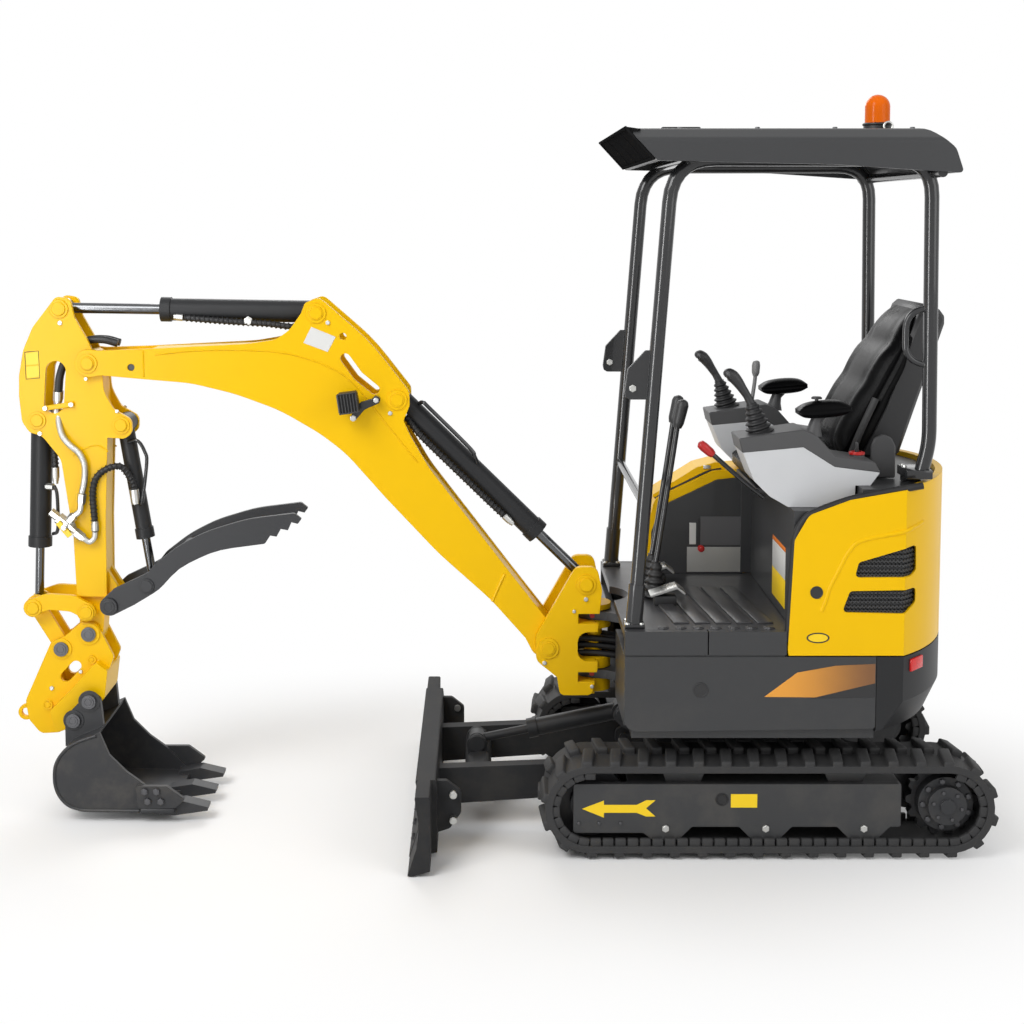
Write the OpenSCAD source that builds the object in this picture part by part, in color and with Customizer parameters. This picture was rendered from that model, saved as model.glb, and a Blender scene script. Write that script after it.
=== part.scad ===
// Mini excavator with canopy, rubber tracks, dozer blade, thumb and quick hitch. Millimetres, +X forward, +Y left, +Z up.

/* [Undercarriage] */
// Distance from sprocket centre to idler centre
track_centres = 1140; // [900:10:1500]
// Radius of the track loop at the lug tips
track_r = 163; // [140:1:200]
// Width of one rubber track
track_width = 230; // [180:5:300]
// Half of the width over both tracks
track_half = 495; // [450:5:650]
// Height of the lugs on the track
lug_h = 22; // [14:1:30]
// Length of one lug along the track
lug_len = 40; // [30:1:42]
// Lugs along one row of the loop
lug_count = 36; // [30:1:42]
// Thickness of the rubber belt
belt_t = 22; // [16:1:30]
// Radius of the track rollers
roller_r = 40; // [30:1:46]
// Height of the slew ring's top face
slew_z = 385; // [375:1:395]
// Radius of the slew ring
slew_r = 250; // [200:5:290]

/* [Blade] */
// Half of the blade's width with its end pieces
blade_half = 620; // [520:10:700]
// Half of the main mouldboard's width
blade_main_half = 475; // [400:5:500]
// Height of the blade's top edge
blade_top = 253; // [220:1:300]
// Height of the cutting edge over the ground
blade_low = 3; // [0:1:20]
// Distance of the blade's back face from the slew axis
blade_x = 1055; // [1000:5:1200]
// Outer face of a blade arm from the middle
blade_arm_y = 228; // [200:1:240]
// Width of a blade arm
blade_arm_w = 48; // [35:1:60]
// Distance of the blade hinge from the slew axis
blade_pin_x = 400; // [360:5:450]
// Height of the blade hinge
blade_pin_z = 172; // [160:1:190]

/* [House] */
// Front face of the house from the slew axis
house_front = 464; // [440:2:470]
// Half of the house's width
house_half = 490; // [470:5:500]
// Radius of the tail about the slew axis
tail_r = 640; // [620:5:660]
// Lower edge of the side skirts
skirt_low = 415; // [405:1:425]
// Upper edge of the side skirts
skirt_top = 656; // [640:1:670]
// Height of the floor
floor_z = 737; // [725:1:750]
// Length of the counterweight's straight sides
tail_straight = 83; // [60:1:110]
// Wall of the skirts and covers
cover_t = 24; // [16:1:30]
// Top of the engine covers at the rear
cover_top = 1206; // [1180:2:1230]
// Swing axis in front of the slew axis
swing_x = 527; // [515:1:540]
// Radius of the swing pin
swing_pin_r = 30; // [24:1:36]
// Height of the upper swing lug's middle
swing_up_z = 674; // [660:1:686]
// Height of the lower swing lug's middle
swing_low_z = 472; // [460:1:480]
// Thickness of a swing lug
swing_lug_t = 30; // [24:1:36]

/* [Canopy] */
// Half of the canopy roof's width
roof_half = 522; // [480:2:560]
// Top of the canopy roof
roof_top = 2306; // [2250:2:2400]
// Wall of the roof
roof_t = 22; // [14:1:30]
// Radius of the canopy posts
post_r = 23; // [18:1:28]
// Distance of the post axes from the middle
post_y = 430; // [400:2:450]
// Radius of the beacon's lens
beacon_r = 40; // [30:1:50]

/* [Boom] */
// Foot pin in front of the slew axis
boom_foot_x = 687; // [670:1:700]
// Height of the foot pin
boom_foot_z = 572; // [560:1:590]
// Distance from foot pin to arm pin
boom_len = 1831; // [1700:5:1950]
// Angle of the line from foot pin to arm pin in the parked pose
boom_angle = 32; // [28:0.5:36]
// Half of the boom's width
boom_half = 78; // [72:1:82]
// Thickness of the boom's side plates
boom_plate = 16; // [12:1:18]
// Radius of the main pins
pin_r = 20; // [16:1:22]
// Gap between a pin and its bore
pin_fit = 0.1; // [0.05:0.05:0.1]
// Gap between two faces that turn past each other
ear_gap = 2; // [1:0.5:3]

/* [Arm] */
// Distance from arm pin to bucket pin
arm_len = 933; // [850:5:1000]
// Angle of the arm in the parked pose
arm_angle = -88.8; // [-95:0.2:-80]

/* [Bucket and thumb] */
// Half of the bucket's width
bucket_half = 190; // [170:2:230]
// Plate thickness of the bucket
bucket_t = 14; // [10:1:18]
// Radius of the bucket pins
bucket_pin_r = 16; // [14:1:18]
// Distance between the two bucket pins
bucket_pin_gap = 85; // [80:1:95]
// Length of the thumb from its pin to its tip
thumb_len = 720; // [650:5:760]
// Inner face of a thumb plate from the middle
thumb_y = 90; // [86:1:95]
// Thickness of a thumb plate
thumb_t = 16; // [12:1:20]

/* [Cylinders] */
// Radius of the boom and arm cylinders' barrels
barrel_r = 38; // [34:1:42]
// Radius of the boom and arm cylinders' rods
rod_r = 18; // [15:1:20]
// Radius of the bucket cylinder's barrel
bucket_barrel_r = 36; // [32:1:38]
// Radius of the thumb cylinder's barrel
thumb_barrel_r = 28; // [24:1:32]
// Radius of the smaller rods
small_rod_r = 15; // [12:1:17]
// Gap between a rod and its barrel's bore
rod_fit = 0.2; // [0.1:0.1:0.4]

/* [Hidden] */
$fa = 7.5;
$fs = 1;
tail_split = sqrt(tail_r * tail_r - house_half * house_half) - tail_straight;
belt_out = track_r - lug_h;
belt_in = belt_out - belt_t;
track_x = track_centres / 2;
track_in = track_half - track_width;
boom_foot = [boom_foot_x, boom_foot_z];
bl = boom_len;
al = arm_len;
function at(o, a, p) = o + [p[0] * cos(a) - p[1] * sin(a), p[0] * sin(a) + p[1] * cos(a)];
boom_tip = at(boom_foot, boom_angle, [bl, 0]);
boom_cyl_l = [bl * 0.482, 447];
arm_cyl_l = [bl * 0.6925, 552];
boom_cyl_pin = at(boom_foot, boom_angle, boom_cyl_l);
arm_cyl_pin = at(boom_foot, boom_angle, arm_cyl_l);
post_pin = boom_foot + [-128, 220];
arm_rod_l = [-181, 102];
bucket_cyl_l = [al * 0.2133, 175];
thumb_cyl_l = [al * 0.225, -109];
guide_l = [al - 81, 4];
thumb_l = [al - 110, -81];
arm_rod_pin = at(boom_tip, arm_angle, arm_rod_l);
bucket_cyl_pin = at(boom_tip, arm_angle, bucket_cyl_l);
thumb_cyl_pin = at(boom_tip, arm_angle, thumb_cyl_l);
guide_pin = at(boom_tip, arm_angle, guide_l);
thumb_pin = at(boom_tip, arm_angle, thumb_l);
arm_end = at(boom_tip, arm_angle, [al, 0]);
link_pin = arm_end + [95, -52];
rod_pin = guide_pin + [181, 15];
thumb_a = 155.7;
thumb_rod_pin = at(thumb_pin, thumb_a, [146, -11]);
bucket_pin1 = arm_end + [-14, -215];
bucket_pin2 = bucket_pin1 + bucket_pin_gap * [0.639, -0.769];
hook_x = 263;
frame_x = (arm_end[0] + hook_x - track_x - track_r) / 2;
arm_half = boom_half - boom_plate - ear_gap;
blade_pin = [blade_pin_x, blade_pin_z];
seat_gap = 0.3;
blade_rod_pin = [blade_x - 125, 222];
blade_cyl_pin = [430, 325];
post_in = boom_half + ear_gap;
post_out = post_in + 22;
guide_in = arm_half + ear_gap;
guide_out = guide_in + 16;
arm_end_half = arm_half - 20;
hitch_in = arm_end_half + ear_gap;
hitch_out = hitch_in + 14;
link_out = hitch_in - ear_gap;
link_in = link_out - 14;
eye_half = link_in - ear_gap;

// Outlines with rounded corners, each point with its radius
function unit(v) = v / norm(v);
function turn(a, b) = a[0] * b[1] - a[1] * b[0];
function corner(p, q, s, r) = r <= 0 ? [q] : let(
  a = unit(p - q), b = unit(s - q), h = acos(max(-1, min(1, a * b))) / 2,
  c = q + unit(a + b) * (r / sin(h)), f = q + a * (r / tan(h)),
  a0 = atan2(f[1] - c[1], f[0] - c[0]), w = (180 - 2 * h) * (turn(q - p, s - q) > 0 ? 1 : -1),
  n = max(r > 250 ? 3 : 2, ceil(abs(w) / 18)))
  [for (i = [0 : n]) c + r * [cos(a0 + w * i / n), sin(a0 + w * i / n)]];
function rnd(pts) = let(n = len(pts), p = [for (q = pts) [q[0], q[1]]])
  [for (i = [0 : n - 1]) each corner(p[(i + n - 1) % n], p[i], p[(i + 1) % n],
    len(pts[i]) > 2 ? pts[i][2] : 0)];

// A plate seen from the side, between two distances from the middle
module slab(pts, y0, y1) translate([0, y1, 0]) rotate([90, 0, 0]) linear_extrude(y1 - y0) polygon(pts);
module slabs(pts, y0, y1) { slab(pts, y0, y1); slab(pts, -y1, -y0); }
module across(p, r, y0, y1) translate([p[0], y1, p[1]]) rotate([90, 0, 0]) cylinder(h = y1 - y0, r = r);
module acrosses(p, r, y0, y1) { across(p, r, y0, y1); across(p, r, -y1, -y0); }
module posed(o, a) translate([o[0], 0, o[1]]) rotate([0, -a, 0]) children();
module bar(p, q, r) { d = q - p; l = norm(d);
  translate(p) rotate([0, acos(d[2] / l), atan2(d[1], d[0])]) cylinder(h = l, r = r); }
module box(a, b) translate(a) cube(b - a);
module mirrored() { children(); mirror([0, 1, 0]) children(); }

// Tracks
module loop2d(r) { circle(r); translate([track_centres, 0]) circle(r); translate([0, -r])
  square([track_centres, 2 * r]); }
loop_len = 2 * track_centres + 2 * PI * belt_out;
function loop_at(s) = let(c = track_centres, q = PI * belt_out, t = s - loop_len * floor(s / loop_len))
  t < c ? [t, belt_out, 0] : t < c + q ? let(a = 90 - (t - c) / belt_out * 180 / PI) [c + belt_out * cos(a), belt_out * sin(a), a - 90] :
  t < 2 * c + q ? [c - (t - c - q), -belt_out, -180] :
  let(a = -90 - (t - 2 * c - q) / belt_out * 180 / PI) [belt_out * cos(a), belt_out * sin(a), a - 90];
// One row of the track: belt outline with its lugs, shifted along the loop by a share of the pitch
function lug_pts(s) = let(p = loop_at(s), t = [cos(p[2]), sin(p[2])], n = [-sin(p[2]), cos(p[2])],
  o = [p[0], p[1]])
  [o - t * lug_len / 2, o - t * (lug_len / 2 - 5) + n * lug_h, o + t * (lug_len / 2 - 5) + n * lug_h,
    o + t * lug_len / 2];
function gap_pt(s) = let(p = loop_at(s)) [p[0], p[1]];
function row_pts(shift) = let(pitch = loop_len / lug_count)
  [for (i = [0 : lug_count - 1]) each concat(lug_pts((i + shift) * pitch),
    [gap_pt((i + shift + 0.5) * pitch)])];
module track_row(shift, y0, y1) translate([-track_x, y1, track_r]) rotate([90, 0, 0])
  linear_extrude(y1 - y0)
  difference() { polygon(row_pts(shift)); loop2d(belt_in); }
module track() {
  track_row(0, track_half - track_width / 2, track_half);
  track_row(0.5, track_in, track_half - track_width / 2);
}
module track_left() color("#1a1a1a") track();
module track_right() color("#1a1a1a") mirror([0, 1, 0]) track();

// Track frames with sprocket, idler and rollers
frame_y0 = track_in + 30;
frame_y1 = track_half - 22;
roller_z = track_r - belt_in + roller_r + 1;
roller_xs = [329, 11, -301];
frame_top = track_r + 76;
frame_low = track_r - 63;
frame_plate = [[track_x + 52, frame_top, 8], [-track_x + 151, frame_top, 8], [-track_x + 151, frame_low, 8],
  for (i = [2, 1, 0]) let(x = roller_xs[i]) each [[x - 84, frame_low, 10], [x - 42, roller_z - 28, 16],
    [x + 42, roller_z - 28, 16], [x + (i == 0 ? 70 : 84), i == 0 ? frame_low - 20 : frame_low, 10]],
  [track_x + 52, frame_low - 20, 8]];
module track_frame() {
  slab([[track_x - 60, frame_top - 2], [-track_x + 151, frame_top - 2], [-track_x + 151, frame_low + 2],
    [track_x - 60, frame_low + 2]], frame_y0 + 1, frame_y1 - 1);
  slab(rnd(frame_plate), frame_y1 - 24, frame_y1);
  slab(rnd(frame_plate), frame_y0, frame_y0 + 24);
  for (x = roller_xs) across([x, roller_z], 30, frame_y0, frame_y1);
  // Skids under the upper run of the track
  for (x = [269, -248]) slab(rnd([[x - 72, track_r + belt_in - 4, 8], [x + 72, track_r + belt_in - 4, 8],
    [x + 52, frame_top - 10], [x - 52, frame_top - 10]]), frame_y0 + 30, frame_y1 - 30);
  across([track_x, track_r], 34, frame_y0, frame_y1);
  for (x = roller_xs) across([x, roller_z], 16, frame_y0, frame_y1);
}
module rollers() for (x = roller_xs) difference() {
  union() { across([x, roller_z], roller_r, frame_y0 + 14, frame_y0 + 60);
    across([x, roller_z], roller_r, frame_y1 - 60, frame_y1 - 14);
    across([x, roller_z], 24, frame_y0 + 14, frame_y1 - 14); }
  across([x, roller_z], 16 + pin_fit, 0, 900);
}
module frame_side() difference() {
  track_frame();
  for (x = roller_xs) slab([[x - 46, 20], [x + 46, 20], [x + 46, roller_z + roller_r + 4],
    [x - 46, roller_z + roller_r + 4]], frame_y0 + 13, frame_y1 - 13);
  slab([[track_x + 80, 20], [track_x + 80, 300], [track_x - belt_in - 3, 300],
    [track_x - belt_in - 3, 20]], frame_y0 + 24.5, frame_y1 - 24.5);
}
module frame_whole() {
  frame_side();
  for (x = roller_xs) across([x, roller_z], 16, frame_y0 + 5, frame_y1 - 5);
  across([track_x, track_r], 34, frame_y0 + 5, frame_y1 - 5);
  // Motor bracket and housing that carry the sprocket
  slab(rnd([[-track_x + 160, 225], [-track_x, 240, 60], [-track_x - 70, track_r, 60], [-track_x, 86, 60],
    [-track_x + 160, 115]]), frame_y0, frame_y0 + 26);
  across([-track_x, track_r], 62, frame_y0 + 10, frame_y1 - 72 - seat_gap);
}
module track_frames() color("#34363a") mirrored() frame_whole();
module track_rollers() color("#26282a") mirrored() rollers();
module idler() difference() {
  union() { across([track_x, track_r], belt_in - 2, frame_y0 + 62, frame_y1 - 62);
    across([track_x, track_r], 60, frame_y0 + 26, frame_y1 - 26); }
  across([track_x, track_r], 34 + pin_fit, 0, 900);
}
module idlers() color("#2b2d2f") mirrored() idler();
function teeth(n, r0, r1) = [for (i = [0 : n - 1]) let(a = i * 360 / n, q = 360 / n)
  each [[r0, a - q * 0.36], [r1, a - q * 0.17], [r1, a + q * 0.17], [r0, a + q * 0.36]]];
module sprocket() {
  difference() {
    slab([for (p = teeth(14, belt_in - 18, belt_in - 2)) [-track_x, track_r] + p[0] * [cos(p[1]),
      sin(p[1])]], frame_y1 - 100, frame_y1 - 72);
    across([-track_x, track_r], 62 + pin_fit, 0, frame_y1 - 69.5);
  }
  across([-track_x, track_r], 88, frame_y1 - 72, frame_y1 - 30);
  across([-track_x, track_r], 62, frame_y1 - 31, frame_y1 - 8);
  across([-track_x, track_r], 24, frame_y1 - 9, frame_y1);
}
module sprockets() color("#3a3c3e") mirrored() sprocket();

// Car body with slew ring, cross legs, blade hinge ears and blade cylinder bracket
module car_body() color("#34363a") difference() {
  union() {
    slab(rnd([[-300, 150, 20], [330, 150, 20], [330, 300, 20], [230, 345, 20], [-230, 345, 20],
      [-300, 300, 20]]), -210, 210);
    for (x = [-240, 160]) box([x, -frame_y0, 165], [x + 90, frame_y0, 235]);
    translate([0, 0, 330]) cylinder(h = slew_z - 330, r = slew_r);
    // Blade hinge ears
    for (y = [-1, 1]) slab(rnd([[300, 225], [blade_pin[0] + 34, 205, 25], [blade_pin[0] + 34, 140, 25],
      [300, 130]]),
      y > 0 ? blade_arm_y - blade_arm_w - ear_gap - 20 : -blade_arm_y + blade_arm_w + ear_gap,
      y > 0 ? blade_arm_y - blade_arm_w - ear_gap : -blade_arm_y + blade_arm_w + ear_gap + 20);
    box([300, -178, 150], [335, 178, 225]);
    mirrored() across(blade_pin, pin_r, 150, blade_arm_y);
    // Blade cylinder bracket
    slabs(rnd([[300, 230], [blade_cyl_pin[0], 280], [blade_cyl_pin[0] + 34, blade_cyl_pin[1] - 10, 20],
      [blade_cyl_pin[0] + 10, blade_cyl_pin[1] + 34, 25],
      [blade_cyl_pin[0] - 34, blade_cyl_pin[1] + 25, 20], [300, 330]]), 32, 50);
    across(blade_cyl_pin, pin_r, -56, 56);
  }
  // Hollow under the slew ring, open to the house
  translate([0, 0, 200]) cylinder(h = 300, r = 90);
}

// Dozer blade
module blade() color("#2a2c2e") difference() {
  blade_solid();
  across(blade_rod_pin, 46, -30, 30);
}
module blade_solid() {
  face = [[blade_x, blade_low + 14], [blade_x + 68, blade_low], [blade_x + 90, blade_low],
    [blade_x + 62, 90], [blade_x + 54, 160], [blade_x + 70, blade_top, 6],
    [blade_x + 4, blade_top, 6], [blade_x, blade_top - 40]];
  slab(rnd(face), -blade_main_half, blade_main_half);
  thin = [[blade_x + 18, blade_low + 14], [blade_x + 70, blade_low], [blade_x + 88, blade_low],
    [blade_x + 60, 90], [blade_x + 52, 160], [blade_x + 66, blade_top, 6], [blade_x + 18, blade_top, 6]];
  slabs(rnd(thin), blade_main_half - 1, blade_half);
  // End brackets that carry the end pieces' pins
  slabs(rnd([[blade_x + 20, 60], [blade_x - 40, 80, 15], [blade_x - 76, 132, 15],
    [blade_x - 76, 200, 15], [blade_x - 30, 236, 15],
    [blade_x + 20, 236]]), blade_main_half - 60, blade_main_half - 40);
  // Arms with the hinge bores
  difference() {
    union() {
      slabs(rnd([[blade_x + 10, 76], [blade_x + 10, 200], [blade_pin[0] + 60, 224],
        [blade_pin[0] - 40, 224, 48], [blade_pin[0] - 52, blade_pin[1] - 10, 40],
        [blade_pin[0] - 20, 122, 40], [blade_pin[0] + 80, 116]]), blade_arm_y - blade_arm_w, blade_arm_y);
      slab(rnd([[blade_x - 175, 130, 30], [blade_x - 85, 120, 30], [blade_x - 85, 190, 30],
        [blade_x - 175, 200, 30]]), -blade_arm_y + 5, blade_arm_y - 5);
      slabs(rnd([[blade_x - 165, 170], [blade_x - 95, 170],
        [blade_rod_pin[0] + 34, blade_rod_pin[1] + 10, 20],
        [blade_rod_pin[0], blade_rod_pin[1] + 36, 25],
        [blade_rod_pin[0] - 34, blade_rod_pin[1] + 10, 20]]), 30, 48);
    }
    acrosses(blade_pin, pin_r + pin_fit, 100, 300);
  }
  acrosses(blade_rod_pin, 28, 40, 56);
}

// A cylinder from its base pin: the barrel with its eye, and the rod with its eye
module barrel(o, e, len, r, rr, w, depth, pr) {
  a = atan2(e[1] - o[1], e[0] - o[0]);
  posed(o, a) difference() {
    union() {
      across([0, 0], pr + 14, -w, w);
      translate([pr, 0, 0]) rotate([0, 90, 0]) cylinder(h = len - pr, r = r);
      translate([len - 34, 0, 0]) rotate([0, 90, 0]) cylinder(h = 34, r = r + 4);
    }
    across([0, 0], pr + pin_fit, -200, 200);
    translate([len - depth, 0, 0]) rotate([0, 90, 0]) cylinder(h = depth + 1, r = rr + rod_fit);
  }
}
module ram(o, e, len, rr, w, inside, er) {
  d = norm(e - o); a = atan2(e[1] - o[1], e[0] - o[0]);
  posed(o, a) { translate([len - inside, 0, 0]) rotate([0, 90, 0]) cylinder(h = d - len + inside, r = rr);
    across([d, 0], er, -w, w); }
}
module blade_barrel() color("#2a2c2e") barrel(blade_cyl_pin, blade_rod_pin, 330, 30, small_rod_r, 30,
  230, pin_r);
module blade_rod() color("#c9ccd0") ram(blade_cyl_pin, blade_rod_pin, 330, small_rod_r, 27, 120, 30);
module boom_barrel() color("#2a2c2e") barrel(boom_cyl_pin, post_pin, 671, barrel_r, rod_r,
  boom_half - boom_plate - ear_gap, 520, pin_r);
module boom_rod() color("#c9ccd0") ram(boom_cyl_pin, post_pin, 671, rod_r, 26, 340, 34);
module arm_barrel() color("#2a2c2e") barrel(arm_cyl_pin, arm_rod_pin, 534, barrel_r, rod_r,
  boom_half - boom_plate - ear_gap, 440, pin_r);
module arm_rod() color("#c9ccd0") ram(arm_cyl_pin, arm_rod_pin, 534, rod_r, 26, 130, 34);
module bucket_barrel() color("#2a2c2e") barrel(bucket_cyl_pin, rod_pin, 443, bucket_barrel_r,
  small_rod_r, arm_half - 14 - ear_gap, 360, pin_r);
module bucket_rod() color("#c9ccd0") ram(bucket_cyl_pin, rod_pin, 443, small_rod_r, eye_half, 210, 28);
module thumb_barrel() color("#2a2c2e") barrel(thumb_cyl_pin, thumb_rod_pin, 402, thumb_barrel_r,
  small_rod_r, arm_half - 14 - ear_gap, 320, pin_r);
module thumb_rod() color("#c9ccd0") ram(thumb_cyl_pin, thumb_rod_pin, 402, small_rod_r, 26, 240, 28);

// Swing post
module swing_post() color("#f2b705") {
  difference() {
    union() {
      slabs([for (p = rnd([[42, -42, 38], [42, 42, 38], [-75, 250, 40], [-95, 280, 30], [-165, 280, 30],
        [-182, 200, 40], [-168, 60], [-168, -70], [-150, -163, 20], [-40, -163, 20], [-30, -100]]))
        boom_foot + p], post_in, post_out);
      translate([swing_x, 0, 409]) cylinder(h = 300, r = 60);
      box([swing_x, -post_in - 1, 409], [swing_x + 84, post_in + 1, 709]);
    }
    across(boom_foot, 68, -post_in, post_in);
    for (z = [swing_up_z, swing_low_z]) translate([0, 0, z - swing_lug_t / 2 - ear_gap]) {
      translate([swing_x, 0, 0]) cylinder(h = swing_lug_t + 2 * ear_gap, r = 117);
    }
    // Opening for the hoses
    box([swing_x - 100, -50, 528], [swing_x + 200, 50, 612]);
    slab(rnd([[swing_x - 100, 526], [swing_x + 60, 526, 36], [swing_x + 60, 628, 36],
      [swing_x - 100, 628]]), -post_out - 1, post_out + 1);
  }
  translate([swing_x, 0, 420]) cylinder(h = 285, r = swing_pin_r);
  across(boom_foot, pin_r, -post_out - 8, post_out + 8);
  acrosses(post_pin, 30, 30, post_out);
  acrosses(post_pin, 22, post_out - 5, post_out + 10);
}

// Boom
boom_side = [[-46, -22, 40], [24, -50, 40], [81, -16], [251, 34, 600], [488, 76, 900], [740, 143], [934, 201, 450],
  [1045, 212, 600], [1201, 207, 500],
  [1357, 175, 700], [1502, 127, 500], [1640, 56], [1772, -11], [1812, -44, 30], [1872, -40, 36],
    [1876, 30, 36], [1828, 53, 30], [1694, 143], [1403, 346, 400], [1335, 406, 60],
  [1314, 455, 80], [1310, 528], [1318, 562, 20], [1286, 602, 25], [1255, 598, 20], [1060, 566, 700],
    [864, 494, 25], [836, 452, 20], [827, 399], [788, 371, 300], [670, 308, 500],
  [229, 142], [10, 62, 40], [-48, 36, 40]];
boom_core = [[-40, -22, 34], [22, -46, 34], [81, -14], [251, 36], [488, 78], [740, 145], [934, 203],
  [1045, 214], [1201, 209], [1357, 177], [1502, 129],
  [1640, 58], [1676, 44], [1676, 154], [1403, 340], [1330, 400], [1150, 400], [905, 384], [788, 345],
    [670, 300], [229, 138], [14, 58, 34], [-42, 34, 34]];
function along(pts, k) = [for (p = pts) len(p) > 2 ? [p[0] * k, p[1], p[2]] : [p[0] * k, p[1]]];
module boom() color("#f2b705") posed(boom_foot, boom_angle) {
  k = bl / 1831;
  difference() {
    union() {
      slabs(rnd(along(boom_side, k)), boom_half - boom_plate, boom_half);
      slab(rnd(along(boom_core, k)), -boom_half + boom_plate - 1, boom_half - boom_plate + 1);
    }
    across([0, 0], pin_r + pin_fit, -100, 100);
    acrosses([1150 * k, 533], 12, boom_half - boom_plate - 0.5, boom_half + 1);
    // Slot for the hoses
    for (p = [[966, 437], [1036, 446], [1104, 474]])
      acrosses([p[0] * k, p[1]], 17, boom_half - boom_plate - 0.5, boom_half + 1);
    slabs([[966 * k, 420], [1040 * k, 429.5], [1110 * k, 458], [1098 * k, 490], [1032 * k, 463],
      [966 * k, 454]], boom_half - boom_plate - 0.5, boom_half + 1);
    acrosses([1700 * k, 66], 12, boom_half - boom_plate + 8, boom_half + 1);
  }
  across(boom_cyl_l, pin_r, -boom_half - 8, boom_half + 8);
  across(arm_cyl_l, pin_r, -boom_half - 8, boom_half + 8);
  across([bl, 0], pin_r, -boom_half - 10, boom_half + 10);
}

// Arm
arm_side = [[-222, 112, 20], [-184, 140], [-117, 190, 60], [-39, 222, 80], [48, 236, 80], [118, 236, 80],
  [205, 226, 40], [242, 200, 30], [250, 160, 50],
  [330, 94, 60], [537, 61], [557, 54], [802, 40], [802, -62], [535, -58], [253, -63], [256, -120, 20],
    [238, -146, 30], [190, -146, 30], [165, -100], [156, -83, 40], [95, -50, 80], [42, -46, 80],
  [-72, 2, 200], [-155, 50], [-216, 64, 20]];
module arm() color("#f2b705") posed(boom_tip, arm_angle) {
  k = al / 933;
  difference() {
    union() {
      difference() {
        slabs(rnd(along(arm_side, k)), arm_half - 14, arm_half);
        // Long opening for the hoses
        acrosses([140 * k, 118], 34, 0, 100);
        acrosses([30 * k, 112], 34, 0, 100);
        slabs([[30 * k, 78], [140 * k, 84], [140 * k, 152], [30 * k, 146]], 0, 100);
      }
      across([0, 0], 44, -arm_half, arm_half);
      slab(rnd(along([[-30, 30], [-30, -20], [40, -44], [95, -48], [160, -55], [253, -60], [535, -56],
        [802, -60], [802, 38], [557, 52], [537, 59], [330, 70], [200, 70], [60, 50]], k)),
        -arm_half + 13, arm_half - 13);
      slab(rnd([[780 * k, -56], [al + 36, -42, 36], [al + 44, 0, 30], [al + 36, 34, 34],
        [780 * k, 38]]), -arm_end_half, arm_end_half);
      // Thumb bracket
      slabs(rnd([[700, -50], [thumb_l[0] - 20, thumb_l[1] - 36, 25],
        [thumb_l[0] + 34, thumb_l[1] - 20, 25], [thumb_l[0] + 34, thumb_l[1] + 20, 15],
        [802, -50]]), 20, arm_end_half);
      across(thumb_l, 34, -thumb_y + ear_gap, thumb_y - ear_gap);
    }
    across([0, 0], pin_r + pin_fit, -100, 100);
    across([al, 0], pin_r + pin_fit, -100, 100);
  }
  across(thumb_l, pin_r, -thumb_y - thumb_t - 8, thumb_y + thumb_t + 8);
  across(guide_l, pin_r, -guide_out - 8, guide_out + 8);
  across(bucket_cyl_l, pin_r, -arm_half - 8, arm_half + 8);
  across(thumb_cyl_l, pin_r, -arm_half - 8, arm_half + 8);
  acrosses(arm_rod_l, 30, 30, arm_half);
  acrosses(arm_rod_l, 22, arm_half - 5, arm_half + 8);
}

// Links of the bucket
module link_plate(p, q, r0, r1, y0, y1) { d = q - p; l = norm(d); a = atan2(d[1], d[0]);
  posed(p, a) { slabs([[0, -r0 * 0.8], [l, -r1 * 0.8], [l, r1 * 0.8], [0, r0 * 0.8]], y0, y1);
    acrosses([0, 0], r0, y0, y1); acrosses([l, 0], r1, y0, y1); } }
module guide_link() color("#f2b705") {
  d = rod_pin - guide_pin;
  l = norm(d);
  difference() {
    posed(guide_pin, atan2(d[1], d[0])) {
      slabs(rnd([[0, -26], [l * 0.3, -2, 40], [l * 0.7, -2, 40], [l, -26], [l + 12, 28, 10],
        [l * 0.76, 52, 60], [l * 0.24, 54, 60], [-12, 28, 10]]), guide_in, guide_out);
      acrosses([0, 0], 32, guide_in, guide_out);
      acrosses([l, 0], 32, guide_in, guide_out);
    }
    across(guide_pin, pin_r + pin_fit, -200, 200);
  }
  acrosses(rod_pin, pin_r, link_in + 0.5, guide_out + 8);
}
module bucket_link() color("#f2b705") difference() {
  link_plate(rod_pin, link_pin, 34, 32, link_in, link_out);
  across(rod_pin, pin_r + pin_fit, -200, 200);
}

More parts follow.
